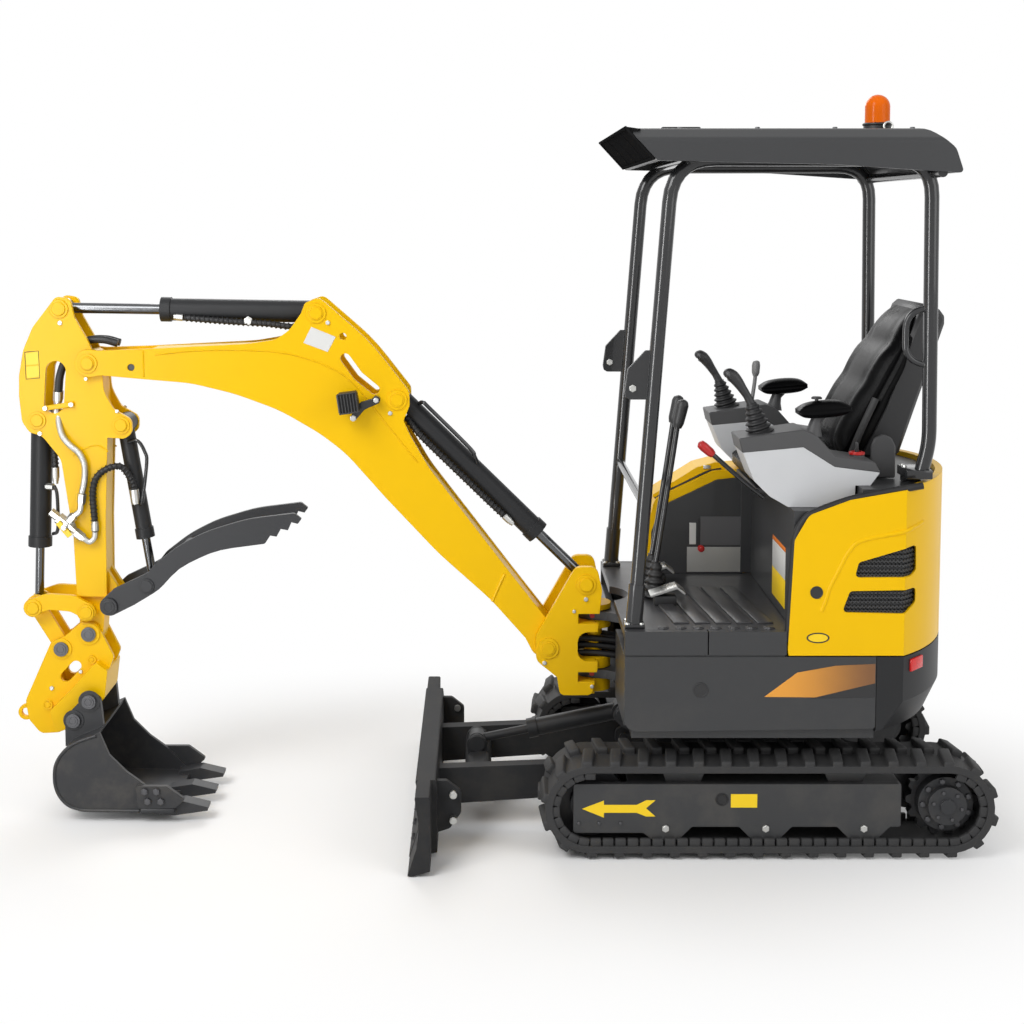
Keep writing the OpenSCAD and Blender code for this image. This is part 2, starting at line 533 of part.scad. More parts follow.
// Quick hitch
hitch_side = [[-24, 40, 30], [26, 40, 30], [84, -10], [131, -30, 20], [222, -233, 30], [212, -300, 30],
  [172, -349, 30], [104, -345, 20], [20, -225], [-67, -125, 20], [-84, -80, 20], [-50, -10]];
module quick_hitch() color("#f2b705") {
  difference() {
    union() {
      slabs([for (p = rnd(hitch_side)) arm_end + p], hitch_in, hitch_out);
      slab([for (p = rnd([[-70, -120, 10], [-58, -215, 25], [-20, -252, 25], [20, -318, 25],
        [60, -318, 25], [110, -335, 10], [130, -260, 10], [60, -190], [-30, -90, 10]]))
        arm_end + p], -92, 92);
      slab([for (p = rnd([[150, -90], [220, -233, 20], [170, -345, 20], [120, -330], [130, -260],
        [110, -180]])) arm_end + p], -hitch_in - 1, hitch_in + 1);
    }
    across(bucket_pin1, bucket_pin_r + pin_fit, -200, 200);
    across(bucket_pin2, bucket_pin_r + pin_fit, -200, 200);
    // Slanted slot
    for (p = [[46, -112], [82, -150]]) acrosses(arm_end + p, 18, hitch_in - 1, 100);
    slabs([for (p = [[59, -99.6], [95, -137.6], [69, -162.4], [33, -124.4]])
      arm_end + p], hitch_in - 1, 100);
    across(arm_end, 60, -hitch_in, hitch_in);
  }
  across(arm_end, pin_r, -hitch_out - 8, hitch_out + 8);
  acrosses(link_pin, 24, hitch_in + 5, hitch_out + 8);
  // Tow loop
  difference() {
    union() { across(arm_end + [hook_x - 27, -290], 27, -8, 8); slab([for (p = [[190, -270],
      [hook_x - 30, -266], [hook_x - 30, -314], [180, -320]]) arm_end + p], -8, 8); }
    across(arm_end + [hook_x - 27, -290], 15, -20, 20);
  }
}

// Bucket
bucket_back = [[-62, -300], [46, -345, 98], [92, -405, 98], [96, -470, 98], [60, -545, 98], [-7, -569, 98]];
bucket_out = concat(bucket_back, [[-300, -577], [-300, -563], [-5, -556, 84], [52, -534, 84],
  [82, -468, 84], [78, -410, 84], [36, -357, 84], [-58, -315]]);
module bucket() color("#2c2e30") {
  slab([for (p = rnd(bucket_out)) arm_end + p], -bucket_half, bucket_half);
  slabs([for (p = rnd(concat(bucket_back, [[-296, -577], [-290, -560], [-209, -479], [-151, -436],
    [-94, -378]]))) arm_end + p], bucket_half - bucket_t, bucket_half);
  // Ears that hold the pins
  slabs([for (p = rnd([[-50, -205, 26], [-14, -183, 26], [62, -262, 26], [70, -300, 20], [70, -372],
    [30, -352], [-60, -306]])) arm_end + p], 100, 122);
  across(bucket_pin1, bucket_pin_r, -132, 132);
  across(bucket_pin2, bucket_pin_r, -132, 132);
  // Side cutters and teeth
  slabs([for (p = rnd([[-185, -480, 8], [-288, -480, 10], [-350, -526, 8], [-317, -556, 8],
    [-190, -558, 8]])) arm_end + p], bucket_half - 1, bucket_half + 14);
  for (y = [-1, 0, 1]) slab([for (p = rnd([[-262, -586], [-262, -552], [-340, -540], [-423, -560],
    [-421, -572], [-310, -588]])) arm_end + p], y * (bucket_half - 33) - 28, y * (bucket_half - 33) + 28);
}

// Thumb
thumb_side = [[-38, -22, 30], [-20, 34, 30], [80, 30], [179, 18, 150], [270, -22, 200], [409, -27, 350],
  [572, 22, 10], [600, 4], [618, 16], [642, -2], [662, 12], [684, -8], [702, 6], [720, -4, 4],
  [706, -32, 12],
  [554, -79, 500], [409, -98, 450], [302, -92, 400], [202, -68, 60], [172, -52], [146, -50, 20],
    [40, -48, 20]];
module thumb() color("#2c2e30") posed(thumb_pin, thumb_a) {
  k = thumb_len / 720;
  difference() {
    slabs(rnd(along(thumb_side, k)), thumb_y, thumb_y + thumb_t);
    across([0, 0], pin_r + pin_fit, -200, 200);
  }
  acrosses([146, -11], 30, 30, thumb_y + 2);
  across([300 * k, -58], 24, -thumb_y - 2, thumb_y + 2);
  acrosses([146, -11], 20, thumb_y + 10, thumb_y + thumb_t + 8);
}

// Revolving frame with the swing bracket
module revolving_frame() color("#2a2c2e") {
  // Stands under the floor
  mirrored() for (x = [-60, house_front - 70]) box([x, 380, slew_z + 41],
    [x + 40, 440, floor_z - 25 - seat_gap]);
  box([-tail_split + seat_gap, -house_half + cover_t + seat_gap, slew_z + 2],
    [house_front - 24 - seat_gap, house_half - cover_t - seat_gap, slew_z + 42]);
  box([260, -150, slew_z + 40], [412, 150, swing_up_z + swing_lug_t / 2]);
  for (z = [swing_up_z, swing_low_z]) translate([0, 0, z - swing_lug_t / 2]) linear_extrude(swing_lug_t)
    difference() {
    union() { translate([swing_x, 0]) circle(58); polygon([[405, -130], [swing_x - 40, -72],
      [swing_x + 10, -57], [swing_x + 10, 57], [swing_x - 40, 72], [405, 130]]); }
    translate([swing_x, 0]) circle(swing_pin_r + pin_fit);
  }
}

// Skirts round the lower house
module skirts() color("#2c2e30") mirrored() {
  slab(rnd([[-tail_split + 2, skirt_low + 10, 10], [house_front, skirt_low, 40],
    [house_front, skirt_top], [-tail_split + 2, skirt_top]]), house_half - cover_t, house_half);
  box([house_front - 24, 165, slew_z + 44], [house_front, house_half - cover_t + 1, skirt_top]);
  // Edge strips of the floor
  for (x = [[-44, 200], [204, house_front]]) box([x[0], house_half - cover_t + seat_gap, skirt_top + 6],
    [x[1], house_half + 2, floor_z]);
  box([-40, house_half - cover_t + seat_gap, skirt_top - 1], [house_front, house_half - 3, skirt_top + 7]);
}

// Tail: counterweight below, covers above
module tail2d(d) intersection() { circle(tail_r - d); translate([-tail_r, -house_half + d])
  square([tail_r, 2 * (house_half - d)]); }
module counterweight() color("#2c2e30") difference() {
  intersection() {
    translate([0, 0, slew_z - 1]) linear_extrude(skirt_top - slew_z + 1) intersection() { tail2d(0);
      translate([-tail_r, -house_half]) square([tail_r - tail_split, 2 * house_half]); }
    union() {
      // Underside rises towards the rear, clear of the blade cylinder
      translate([0, 0, slew_z - 2]) cylinder(h = 38, r1 = tail_r - 138, r2 = tail_r - 40);
      translate([0, 0, slew_z + 35.9]) cylinder(h = 92, r1 = tail_r - 40, r2 = tail_r);
      translate([0, 0, slew_z + 127.8]) cylinder(h = 400, r = tail_r);
    }
  }
  box([-tail_split - 60, -300, slew_z + 60], [0, 300, skirt_top + 1]);
}
cover_side = [[-48, skirt_top + 24], [-64, cover_top - 179, 30], [-109, cover_top - 99, 40],
  [-237, cover_top - 51, 40], [-468, cover_top - 10], [-tail_r - 60, cover_top],
  [-tail_r - 60, skirt_top + 4], [-51, skirt_top + 4]];
module cover_ring(y0, y1) intersection() {
  slab(rnd(cover_side), y0, y1);
  translate([0, 0, 600]) linear_extrude(700) difference() { tail2d(0); tail2d(cover_t); }
}
bonnet_half = 255;
grille_up = [[-254, cover_top - 297, 12], [-266, cover_top - 249, 12], [-418, cover_top - 203, 14],
  [-454, cover_top - 200, 12], [-456, cover_top - 282, 12], [-434, cover_top - 296, 14]];
grille_low = [[-216, cover_top - 408, 12], [-240, cover_top - 340, 12], [-456, cover_top - 336, 14],
  [-456, cover_top - 384, 14], [-414, cover_top - 412, 14]];
hinge_x = -sqrt(tail_r * tail_r - pow(bonnet_half + 1.5, 2));
hinge_zs = [skirt_top + 90, cover_top - 170];
module side_covers() color("#f2b705") {
  difference() {
    cover_ring(bonnet_half + 3, house_half + 200);
    slab(rnd(grille_up), bonnet_half, house_half + 1);
    slab(rnd(grille_low), bonnet_half, house_half + 1);
  }
  difference() {
    cover_ring(-house_half - 200, -bonnet_half - 3);
    for (z = hinge_zs) translate([hinge_x, -bonnet_half - 1.5, z - 4]) cylinder(h = 78, r = 14);
  }
}
module bonnet() color("#f2b705") {
  cover_ring(-bonnet_half, bonnet_half);
  for (z = hinge_zs) translate([hinge_x, -bonnet_half - 1.5, z]) { cylinder(h = 70, r = 10);
    translate([0, 0, 5]) cube([8, 12, 60]); }
}
module tail_shell(z0, d0, d1) translate([0, 0, z0]) linear_extrude(700) difference() { tail2d(d0);
  tail2d(d1); }
module grilles() color("#17181a") for (g = [[grille_up, cover_top - 296, 6],
  [grille_low, cover_top - 411, 5]]) difference() {
  intersection() { slab(rnd(g[0]), bonnet_half, house_half + 1); tail_shell(skirt_top, 8, 17); }
  intersection() {
    for (i = [0 : g[2] - 1]) slab([for (p = [[-480, 8], [-200, 8], [-200, 15],
      [-480, 15]]) [p[0], g[1] + p[1] + i * 15]], 0, house_half + 1);
    tail_shell(skirt_top, 0, 13);
  }
}
deck_y = min(house_half - cover_t, sqrt(pow(tail_r - cover_t, 2) - 390 * 390)) - 10;
module top_deck() color("#2c2e30") {
  translate([0, 0, cover_top - 46]) linear_extrude(24) difference() {
    intersection() { tail2d(cover_t + 1); translate([-tail_r, -house_half])
      square([tail_r - 300, 2 * house_half]); }
    // Room for the hinge side of the bonnet
    translate([hinge_x, -bonnet_half - 1.5]) circle(36);
  }
  box([-302, -house_half + cover_t + 1, 1091], [-280, house_half - cover_t - 1, cover_top - 22]);
  box([-302, -house_half + cover_t + 1, 1091], [-70, house_half - cover_t - 1, 1115]);
  box([-90, -house_half + cover_t + 1, slew_z + 42 + seat_gap], [-66, house_half - cover_t - 1, 1115]);
  mirrored() box([-390, deck_y - 20, skirt_top + seat_gap], [-370, deck_y, cover_top - 45]);
}
module engine() color("#3b3d40") box([-tail_split + 12, -220, slew_z + 42 + seat_gap], [-110, 220, 860]);

// Floor, edge strips and right cover
module floor_plate() color("#26282a") difference() {
  box([-64, -house_half + cover_t, 712], [house_front, house_half - cover_t, floor_z]);
  translate([swing_x, 0, 600]) cylinder(h = 300, r = 118);
}
tank_side = [[312, floor_z + seat_gap], [312, 900, 40], [284, 1010, 40], [71, 1113, 60], [-40, 1122, 20],
  [-56, 1100], [-56, 1027], [-44, floor_z + seat_gap]];
module tank_cover() color("#f2b705") difference() {
  union() {
    slab(rnd(tank_side), -house_half, -300);
    // Raised lid
    slab(rnd([[276, 1002], [292, 1020, 8], [128, 1124, 30], [60, 1142, 16], [26, 1136, 10],
      [24, 1100]]), -house_half + 20, -322);
  }
  // Seam of the lid
  slab([[330, 930], [330, 934], [-80, 1040], [-80, 1036]], -house_half - 1, -house_half + 4);
}
module tank_panel() color("#26282a") slab(rnd([[296, floor_z + seat_gap], [296, 890, 30], [262, 985, 30],
  [60, 1082, 40], [-30, 1092, 12], [-36, floor_z + seat_gap]]), -300 + seat_gap, -288);

// Seat, consoles and controls
module seat() color("#17181a") slab(rnd([[30, 1150, 25], [22, 1238, 30], [-285, 1225, 30],
  [-392, 1545, 150], [-484, 1738, 40], [-560, 1764, 45], [-622, 1700, 40], [-470, 1240, 30],
  [-400, cover_top - 22 + seat_gap], [-279, cover_top - 22 + seat_gap], [-279, 1115 + seat_gap],
    [4, 1115 + seat_gap, 15]]), -215, 215);
stick_foot = [20, 1349];
arm_foot = [-120, 1340];
module consoles() color("#8d9093") mirrored() difference() {
  slab(rnd([[98, 1332, 15], [84, 1285, 20], [50, 1200, 40], [0, 1150, 40], [-60, 1115 + seat_gap],
    [-272, 1115 + seat_gap],
    [-272, cover_top - 22 + seat_gap], [-320, cover_top - 22 + seat_gap, 8], [-350, 1226, 10],
      [-332, 1256, 12], [-206, 1274, 20], [-145, 1341, 20], [-105, 1360, 20]]), 240, 400);
  translate([arm_foot[0], 330, arm_foot[1]]) cylinder(h = 60, r = 14 + pin_fit);
  translate([stick_foot[0], 330, stick_foot[1] - 20]) cylinder(h = 60, r = 12 + pin_fit);
}
module joysticks() mirrored() {
  translate([stick_foot[0], 330, stick_foot[1] - 20]) cylinder(h = 50, r = 12);
  translate([stick_foot[0], 330, stick_foot[1]]) cylinder(h = 50, r1 = 40, r2 = 16);
  bar([stick_foot[0], 330, stick_foot[1] + 20], [70, 330, 1450], 11);
  bar([64, 330, 1440], [104, 330, 1530], 22);
}
module armrests() mirrored() {
  slab(rnd([[-270, 1388, 15], [-110, 1378, 15], [-110, 1422, 18], [-270, 1432, 18]]), 290, 370);
  translate([arm_foot[0] - 20, 330, 1380]) cylinder(h = 20, r = 13);
  translate([arm_foot[0], 330, arm_foot[1]]) cylinder(h = 60, r = 14);
}
module travel_levers() mirrored() {
  translate([325, 60, floor_z + seat_gap]) cylinder(h = 110, r = 26);
  bar([322, 60, 840], [249, 60, 1330], 9);
  bar([250, 60, 1325], [232, 60, 1410], 18);
  box([250, 110, floor_z + seat_gap], [340, 190, 775]);
}
module controls() color("#17181a") { joysticks(); armrests(); travel_levers(); }

// Canopy
rear_y = post_y - 40;
roof_in = roof_top - 40;
module bent(pts, y, r) for (i = [0 : len(pts) - 2]) {
  bar([pts[i][0], y, pts[i][1]], [pts[i + 1][0], y, pts[i + 1][1]], r);
  if (i > 0) translate([pts[i][0], y, pts[i][1]]) sphere(r + 0.6);
}
rail_z = roof_top - 92;
module canopy_frame() color("#1c1d1f") {
  mirrored() {
    box([398, post_y - 34, floor_z + seat_gap], [462, post_y + 34, floor_z + 14]);
    bent([[430, floor_z + 8], [354, 1766], [330, rail_z - 80], [285, rail_z]], post_y, post_r);
    bar([285, post_y, rail_z], [-430, rear_y, rail_z], post_r);
    translate([285, post_y, rail_z]) sphere(post_r + 0.6);
    translate([-430, rear_y, rail_z]) sphere(post_r + 0.6);
    bent([[-430, rail_z], [-497, rail_z - 70], [-506, 1339], [-484, cover_top + 20]], rear_y, post_r);
    box([-512, rear_y - 90, cover_top + seat_gap], [-430, rear_y + 30, cover_top + 30]);
    box([-500, rear_y - 88, cover_top - 22 + seat_gap], [-440, rear_y - 60, cover_top + 2]);
    difference() {
      slab(rnd([[374, 1618], [402, 1618, 6], [456, 1559, 12], [466, 1477, 10], [455, 1463, 10],
        [378, 1463]]), post_y - 6, post_y + 6);
      across([441, 1499], 9, post_y - 7, post_y + 7);
    }
  }
  // Grab handle on the left rear post
  bent([[-505, 1752], [-424, 1710], [-424, 1606], [-505, 1564]], rear_y, 10);
  bar([400, -post_y, 1128], [400, post_y, 1128], 14);
  bar([-496, -roof_half + roof_t + seat_gap, rail_z - 44],
    [-496, roof_half - roof_t - seat_gap, rail_z - 44], 15);
  bar([268, -roof_half + roof_t + seat_gap, rail_z], [268, roof_half - roof_t - seat_gap, rail_z], 17);
}
// Roof: its side outline crossed with its front outline, hollow below
module canopy_roof() color("#1c1d1f") {
  difference() {
    intersection() {
      slab(rnd([[436, roof_top, 16], [456, roof_top - 16, 10], [378, roof_top - 100, 10],
        [-160, roof_top - 112], [-556, roof_top - 138, 10], [-530, roof_top - 62, 40],
        [-455, roof_top, 70]]), -roof_half, roof_half);
      translate([-700, 0, 0]) rotate([90, 0, 90]) linear_extrude(1300)
        polygon(rnd([[-roof_half, roof_top - 150], [roof_half, roof_top - 150],
        [roof_half, roof_top - 34, 20], [roof_half - 50, roof_top, 30],
        [-roof_half + 50, roof_top, 30], [-roof_half, roof_top - 34, 20]]));
    }
    slab([[392, roof_in], [345, roof_top - 156], [-535, roof_top - 156], [-528, roof_top - 116],
      [-470, roof_in]], -roof_half + roof_t, roof_half - roof_t);
  }
  // Raised panels on the roof
  slab(rnd([[352, roof_top - 2], [344, roof_top + 12, 6], [223, roof_top + 12, 6],
    [215, roof_top - 2]]), -330, 330);
  slab(rnd([[150, roof_top - 2], [140, roof_top + 6, 4], [-240, roof_top + 6, 4],
    [-250, roof_top - 2]]), -330, 330);
}
module beacon_base() color("#1c1d1f") translate([-370, 200, roof_top]) cylinder(h = 30, r = beacon_r + 4);
module beacon_lens() color("#f59b00") translate([-370, 200, roof_top + 30]) {
  cylinder(h = 93 - beacon_r, r = beacon_r); translate([0, 0, 93 - beacon_r]) sphere(r = beacon_r); }
module work_light() color("#1c1d1f") posed(boom_foot, boom_angle) {
  slab(rnd([[985, 338, 10], [1055, 338, 10], [1055, 408, 10], [985, 408, 10]]), 116, 172);
  slab(rnd([[993, 346, 8], [1047, 346, 8], [1047, 400, 8], [993, 400, 8]]), 171, 178);
  slab([[930, 395], [990, 360], [1000, 380], [945, 425]], boom_half, 120);
}

translate([-frame_x, 0, 0]) {
  track_left();
  track_right();
  track_frames();
  track_rollers();
  idlers();
  sprockets();
  car_body();
  blade();
  blade_barrel();
  blade_rod();
  revolving_frame();
  skirts();
  counterweight();
  side_covers();
  grilles();
  bonnet();
  top_deck();
  engine();
  floor_plate();
  tank_cover();
  tank_panel();
  seat();
  consoles();
  controls();
  canopy_frame();
  canopy_roof();
  beacon_base();
  beacon_lens();
  swing_post();
  boom();
  work_light();
  boom_barrel();
  boom_rod();
  arm();
  arm_barrel();
  arm_rod();
  bucket_barrel();
  bucket_rod();
  guide_link();
  bucket_link();
  quick_hitch();
  bucket();
  thumb();
  thumb_barrel();
  thumb_rod();
}
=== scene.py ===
import math

import bpy
from mathutils import Matrix, Vector


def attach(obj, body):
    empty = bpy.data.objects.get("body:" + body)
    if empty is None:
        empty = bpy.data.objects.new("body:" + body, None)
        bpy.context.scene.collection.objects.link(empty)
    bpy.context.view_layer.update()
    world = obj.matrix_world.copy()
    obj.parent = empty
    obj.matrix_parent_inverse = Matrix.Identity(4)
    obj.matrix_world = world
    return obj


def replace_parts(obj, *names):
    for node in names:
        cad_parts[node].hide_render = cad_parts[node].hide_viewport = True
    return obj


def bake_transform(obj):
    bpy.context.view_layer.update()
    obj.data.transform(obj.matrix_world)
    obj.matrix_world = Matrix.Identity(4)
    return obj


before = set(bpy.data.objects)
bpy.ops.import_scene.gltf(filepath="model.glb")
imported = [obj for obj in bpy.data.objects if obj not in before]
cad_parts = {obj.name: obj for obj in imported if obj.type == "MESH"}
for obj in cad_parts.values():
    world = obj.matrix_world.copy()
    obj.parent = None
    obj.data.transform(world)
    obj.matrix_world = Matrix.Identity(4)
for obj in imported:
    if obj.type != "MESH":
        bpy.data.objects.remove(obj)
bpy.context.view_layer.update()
scene = bpy.context.scene
SLEW_X = 894.658  # the slew axis lies this far behind the middle, in millimetres
# Faces that pieces are set on and lines that they stand on, in millimetres from the middle plane
BOOM_FACE, ARM_FACE, POST_FACE, HITCH_FACE, FRAME_FACE, COVER_FACE = 78, 60, 102, 56, 473, 490
CANOPY_Y, STICK_Y, LEVER_Y, PEDAL_Y = 430, 330, 60, 150
PANEL_Y, RISER_X = -288.4, -66.6  # the far side panel, and the front of the seat's riser
AXLE_Z, FLOOR_Z, ROOF_TOP = 163, 737, 2306
TAIL_R = 640  # radius of the house's round tail
SIDES = ((1, "left"), (-1, "right"))


def place(x, y, z):
    """A point given in millimetres from the slew axis on the ground, in metres in the shared frame."""
    return Vector(((x - SLEW_X) / 1000, y / 1000, z / 1000))


# Camera at the photograph's angle: level with the roof, square to the left side, tipped a little down
bpy.ops.object.select_all(action="DESELECT")
camera = bpy.data.objects.new("camera", bpy.data.cameras.new("camera"))
scene.collection.objects.link(camera)
camera.location = (0.0201, 5.1942, 2.0391)
camera.rotation_euler = (math.radians(85.5), 0, math.pi)
camera.data.sensor_width = 36
camera.data.lens = 53.7
camera.data.shift_x = 0.03
camera.data.shift_y = -0.1723
scene.camera = camera


# Shader trees
class Wire:
    """An output of a shader tree that can be added, multiplied and so on in plain sums."""

    def __init__(self, finish, socket):
        self.finish, self.socket = finish, socket

    def sum(self, kind, other, swap=False):
        a, b = (other, self) if swap else (self, other)
        return self.finish.add("ShaderNodeMath", {"operation": kind}, {0: a, 1: b})

    def __add__(self, other):
        return self.sum("ADD", other)

    def __sub__(self, other):
        return self.sum("SUBTRACT", other)

    def __rsub__(self, other):
        return self.sum("SUBTRACT", other, True)

    def __mul__(self, other):
        return self.sum("MULTIPLY", other)

    def held(self):
        """Kept between 0 and 1."""
        return self.finish.add("ShaderNodeClamp", {}, {0: self})

    __radd__, __rmul__ = __add__, __mul__


class Tree:
    """A shader tree under way, whose nodes come from add()."""

    def __init__(self, tree):
        self.tree = tree

    def add(self, kind, settings, values, out=0):
        node = self.tree.nodes.new(kind)
        for key, value in settings.items():
            setattr(node, key, value)
        for key, value in values.items():
            self.put(node.inputs[key], value)
        return Wire(self, node.outputs[out])

    def put(self, socket, value):
        if isinstance(value, Wire):
            self.tree.links.new(value.socket, socket)
        else:
            socket.default_value = value

    def seen(self):
        """1 for what the camera sees, also mirrored or through plastic, and 0 for light on the object."""
        kinds = [self.add("ShaderNodeLightPath", {}, {}, f"Is {kind} Ray")
                 for kind in ("Camera", "Glossy", "Transmission")]
        return kinds[0].sum("MAXIMUM", kinds[1]).sum("MAXIMUM", kinds[2])

    def mix_surfaces(self, share, first, second, end):
        """Two surfaces mixed by a share, as the tree's result."""
        mixed = self.add("ShaderNodeMixShader", {}, {0: share, 1: first, 2: second})
        self.put(self.tree.nodes[end].inputs[0], mixed)


class Finish(Tree):
    """A material under way; shader() sets its surface."""

    def __init__(self, name):
        self.material = bpy.data.materials.new(name)
        self.material.use_nodes = True
        super().__init__(self.material.node_tree)
        self.surface = self.tree.nodes["Principled BSDF"]
        self.spot = self.add("ShaderNodeTexCoord", {}, {}, "Object")

    def noise(self, scale, detail=3.0, rough=0.55, at=None):
        return self.add("ShaderNodeTexNoise", {}, {"Vector": at or self.spot, "Scale": scale,
                                                   "Detail": detail, "Roughness": rough})

    def step(self, value, low, high):
        """0 below low and 1 above high, with a soft change between."""
        return self.add("ShaderNodeMapRange", {"interpolation_type": "SMOOTHSTEP"},
                        {0: value, 1: low, 2: high})

    def mix(self, share, a, b):
        a, b = [(*c, 1) if isinstance(c, tuple) and len(c) == 3 else c for c in (a, b)]
        return self.add("ShaderNodeMix", {"data_type": "RGBA"}, {0: share, 6: a, 7: b}, 2)

    def height(self):
        return self.add("ShaderNodeSeparateXYZ", {}, {0: self.spot}, 2)

    def edges(self, radius):
        """The rounded normal of sharp corners, and how near a corner a point lies."""
        soft = self.add("ShaderNodeBevel", {"samples": 4}, {"Radius": radius})
        flat = self.add("ShaderNodeNewGeometry", {}, {}, "Normal")
        same = self.add("ShaderNodeVectorMath", {"operation": "DOT_PRODUCT"}, {0: soft, 1: flat}, "Value")
        return soft, (1 - same).held()

    def bump(self, height, strength, distance, normal=None):
        values = {"Height": height, "Strength": strength, "Distance": distance}
        if normal:
            values["Normal"] = normal
        return self.add("ShaderNodeBump", {}, values)

    def shader(self, **values):
        for key, value in values.items():
            self.put(self.surface.inputs[key.replace("_", " ")], value)
        return self.material


# Stage, lamps and world; away from the object the floor is seen as plain white, so that no horizon shows
scene.view_settings.view_transform = "Standard"
WHITE_LIGHT = (1, 1, 1, 1)
bpy.ops.object.select_all(action="DESELECT")
bpy.ops.mesh.primitive_plane_add(size=60, location=(0, 0, -0.001))
floor = bpy.context.active_object
floor.name = "floor"
f = Finish("floor")
f.shader(Base_Color=(0.95, 0.95, 0.95, 1), Roughness=0.9, Specular_IOR_Level=0.0)
squashed = f.add("ShaderNodeMapping", {}, {"Vector": f.spot, "Scale": (0.62, 1, 1)})
far = f.add("ShaderNodeVectorMath", {"operation": "LENGTH"}, {0: squashed}, "Value")
glow = f.add("ShaderNodeEmission", {}, {"Color": WHITE_LIGHT, "Strength": 1.0})
f.mix_surfaces(f.step(far, 0.65, 1.7) * f.seen(), Wire(f, f.surface.outputs[0]), glow, "Material Output")
floor.data.materials.append(f.material)
scene.world = bpy.data.worlds.new("studio")
scene.world.use_nodes = True
sky = Tree(scene.world.node_tree)
lit = sky.tree.nodes["Background"]
lit.inputs["Color"].default_value, lit.inputs["Strength"].default_value = WHITE_LIGHT, 0.50
white = sky.add("ShaderNodeBackground", {}, {"Color": WHITE_LIGHT, "Strength": 1.0})
sky.mix_surfaces(sky.seen(), Wire(sky, lit.outputs[0]), white, "World Output")


def lamp(name, spot, target, size, power, tall=None):
    """A square lamp, or with a height of its own an upright one that only shows in reflections."""
    data = bpy.data.lights.new(name, "AREA")
    data.energy, data.size = power, size
    if tall:
        data.shape, data.size_y = "RECTANGLE", tall
    o = bpy.data.objects.new(name, data)
    o.location = spot
    o.rotation_euler = (Vector(target) - Vector(spot)).to_track_quat("-Z", "Y").to_euler()
    o.visible_diffuse = not tall
    scene.collection.objects.link(o)


lamp("key", (3.0, 3.6, 4.8), (0, 0, 0.9), 3.0, 205)
lamp("fill", (-4.4, 3.6, 3.0), (-0.4, 0, 1.0), 3.0, 60)
lamp("rim", (0.6, -4.6, 4.4), (0, 0, 1.2), 3.2, 120)
lamp("strip", (2.6, 3.2, 1.5), (-0.4, 0.4, 1.5), 0.8, 110, tall=2.8)


# Finishes
def paint(name, colour, worn, rough, dust=0.08, peel=0.12, wear=0.5, coat=0.1, shine=0.3):
    """Sprayed paint over steel: orange peel, faint tones, a little dust low down, worn corners."""
    f = Finish(name)
    soft, edge = f.edges(0.003)
    patch = f.noise(2.3, 5)
    fine = f.noise(160, 2)
    tone = f.mix(patch * 0.5, colour, tuple(c * 0.82 for c in colour))
    low = (1 - f.step(f.height(), 0.02, 0.75)) * f.step(f.noise(7, 6, 0.65), 0.42, 0.75) * dust
    dusty = f.mix(low, tone, (0.30, 0.26, 0.20))
    bare = f.step(edge * f.step(f.noise(38, 4), 0.38, 0.66), 0.10, 0.32) * wear
    base = f.mix(bare, dusty, worn)
    roughness = rough + patch * 0.10 + low * 0.35 + bare * 0.15
    return f.shader(Base_Color=base, Roughness=roughness, Coat_Weight=(1 - low) * coat,
                    Specular_IOR_Level=shine, Normal=f.bump(fine, peel, 0.0006, soft))


def rubber(name, colour, rough, grain, dust):
    """Moulded rubber with a fine grain and dust in its low places."""
    f = Finish(name)
    soft, edge = f.edges(0.004)
    patch = f.noise(9, 6, 0.6)
    fine = f.noise(grain, 3)
    dusty = f.step(patch, 0.45, 0.75) * dust
    base = f.mix(dusty, colour, (0.16, 0.145, 0.12))
    base = f.mix(edge * 0.5, base, tuple(min(1, c * 2.1) for c in colour))
    return f.shader(Base_Color=base, Roughness=rough + patch * 0.18,
                    Normal=f.bump(fine + patch * 0.5, 0.35, 0.001, soft), Specular_IOR_Level=0.4)


def plastic(name, colour, rough, grain=420, bump=0.25, rounding=0.002):
    """Moulded plastic with a spark-eroded grain."""
    f = Finish(name)
    soft, edge = f.edges(rounding)
    patch = f.noise(5, 4)
    cells = f.add("ShaderNodeTexVoronoi", {}, {"Vector": f.spot, "Scale": grain})
    base = f.mix(patch * 0.4, colour, tuple(c * 0.8 for c in colour))
    base = f.mix(edge * 0.4, base, tuple(min(1, c * 1.5 + 0.01) for c in colour))
    return f.shader(Base_Color=base, Roughness=rough + patch * 0.12,
                    Normal=f.bump(cells, bump, 0.0004, soft))


def metal(name, colour, rough, streak, rounding=0.0015):
    """Bare or plated metal with fine turning marks and a few duller patches."""
    f = Finish(name)
    soft, _ = f.edges(rounding)
    patch = f.noise(14, 5)
    scaled = f.add("ShaderNodeMapping", {}, {"Vector": f.spot, "Scale": (1.0, 1.0, streak)})
    lines = f.noise(90, 2, 0.5, scaled)
    base = f.mix(patch * 0.5, colour, tuple(c * 0.72 for c in colour))
    return f.shader(Base_Color=base, Metallic=1.0, Roughness=rough + lines * 0.1 + patch * 0.08,
                    Normal=f.bump(lines, 0.06, 0.0004, soft))


def leather_cloth(name):
    """Black seat vinyl with leather grain and a soft sheen where it is rubbed."""
    f = Finish(name)
    cells = f.add("ShaderNodeTexVoronoi", {"feature": "DISTANCE_TO_EDGE"}, {"Vector": f.spot, "Scale": 210})
    wrinkle = f.noise(26, 6, 0.6)
    rubbed = f.step(f.noise(6, 3), 0.45, 0.7)
    base = f.mix(rubbed * 0.6, (0.003, 0.003, 0.0033), (0.007, 0.007, 0.0075))
    grain = f.step(cells, 0.0, 0.12) + wrinkle * 0.8
    return f.shader(Base_Color=base, Roughness=0.30 - rubbed * 0.1, Normal=f.bump(grain, 0.18, 0.0009),
                    Specular_IOR_Level=0.05)


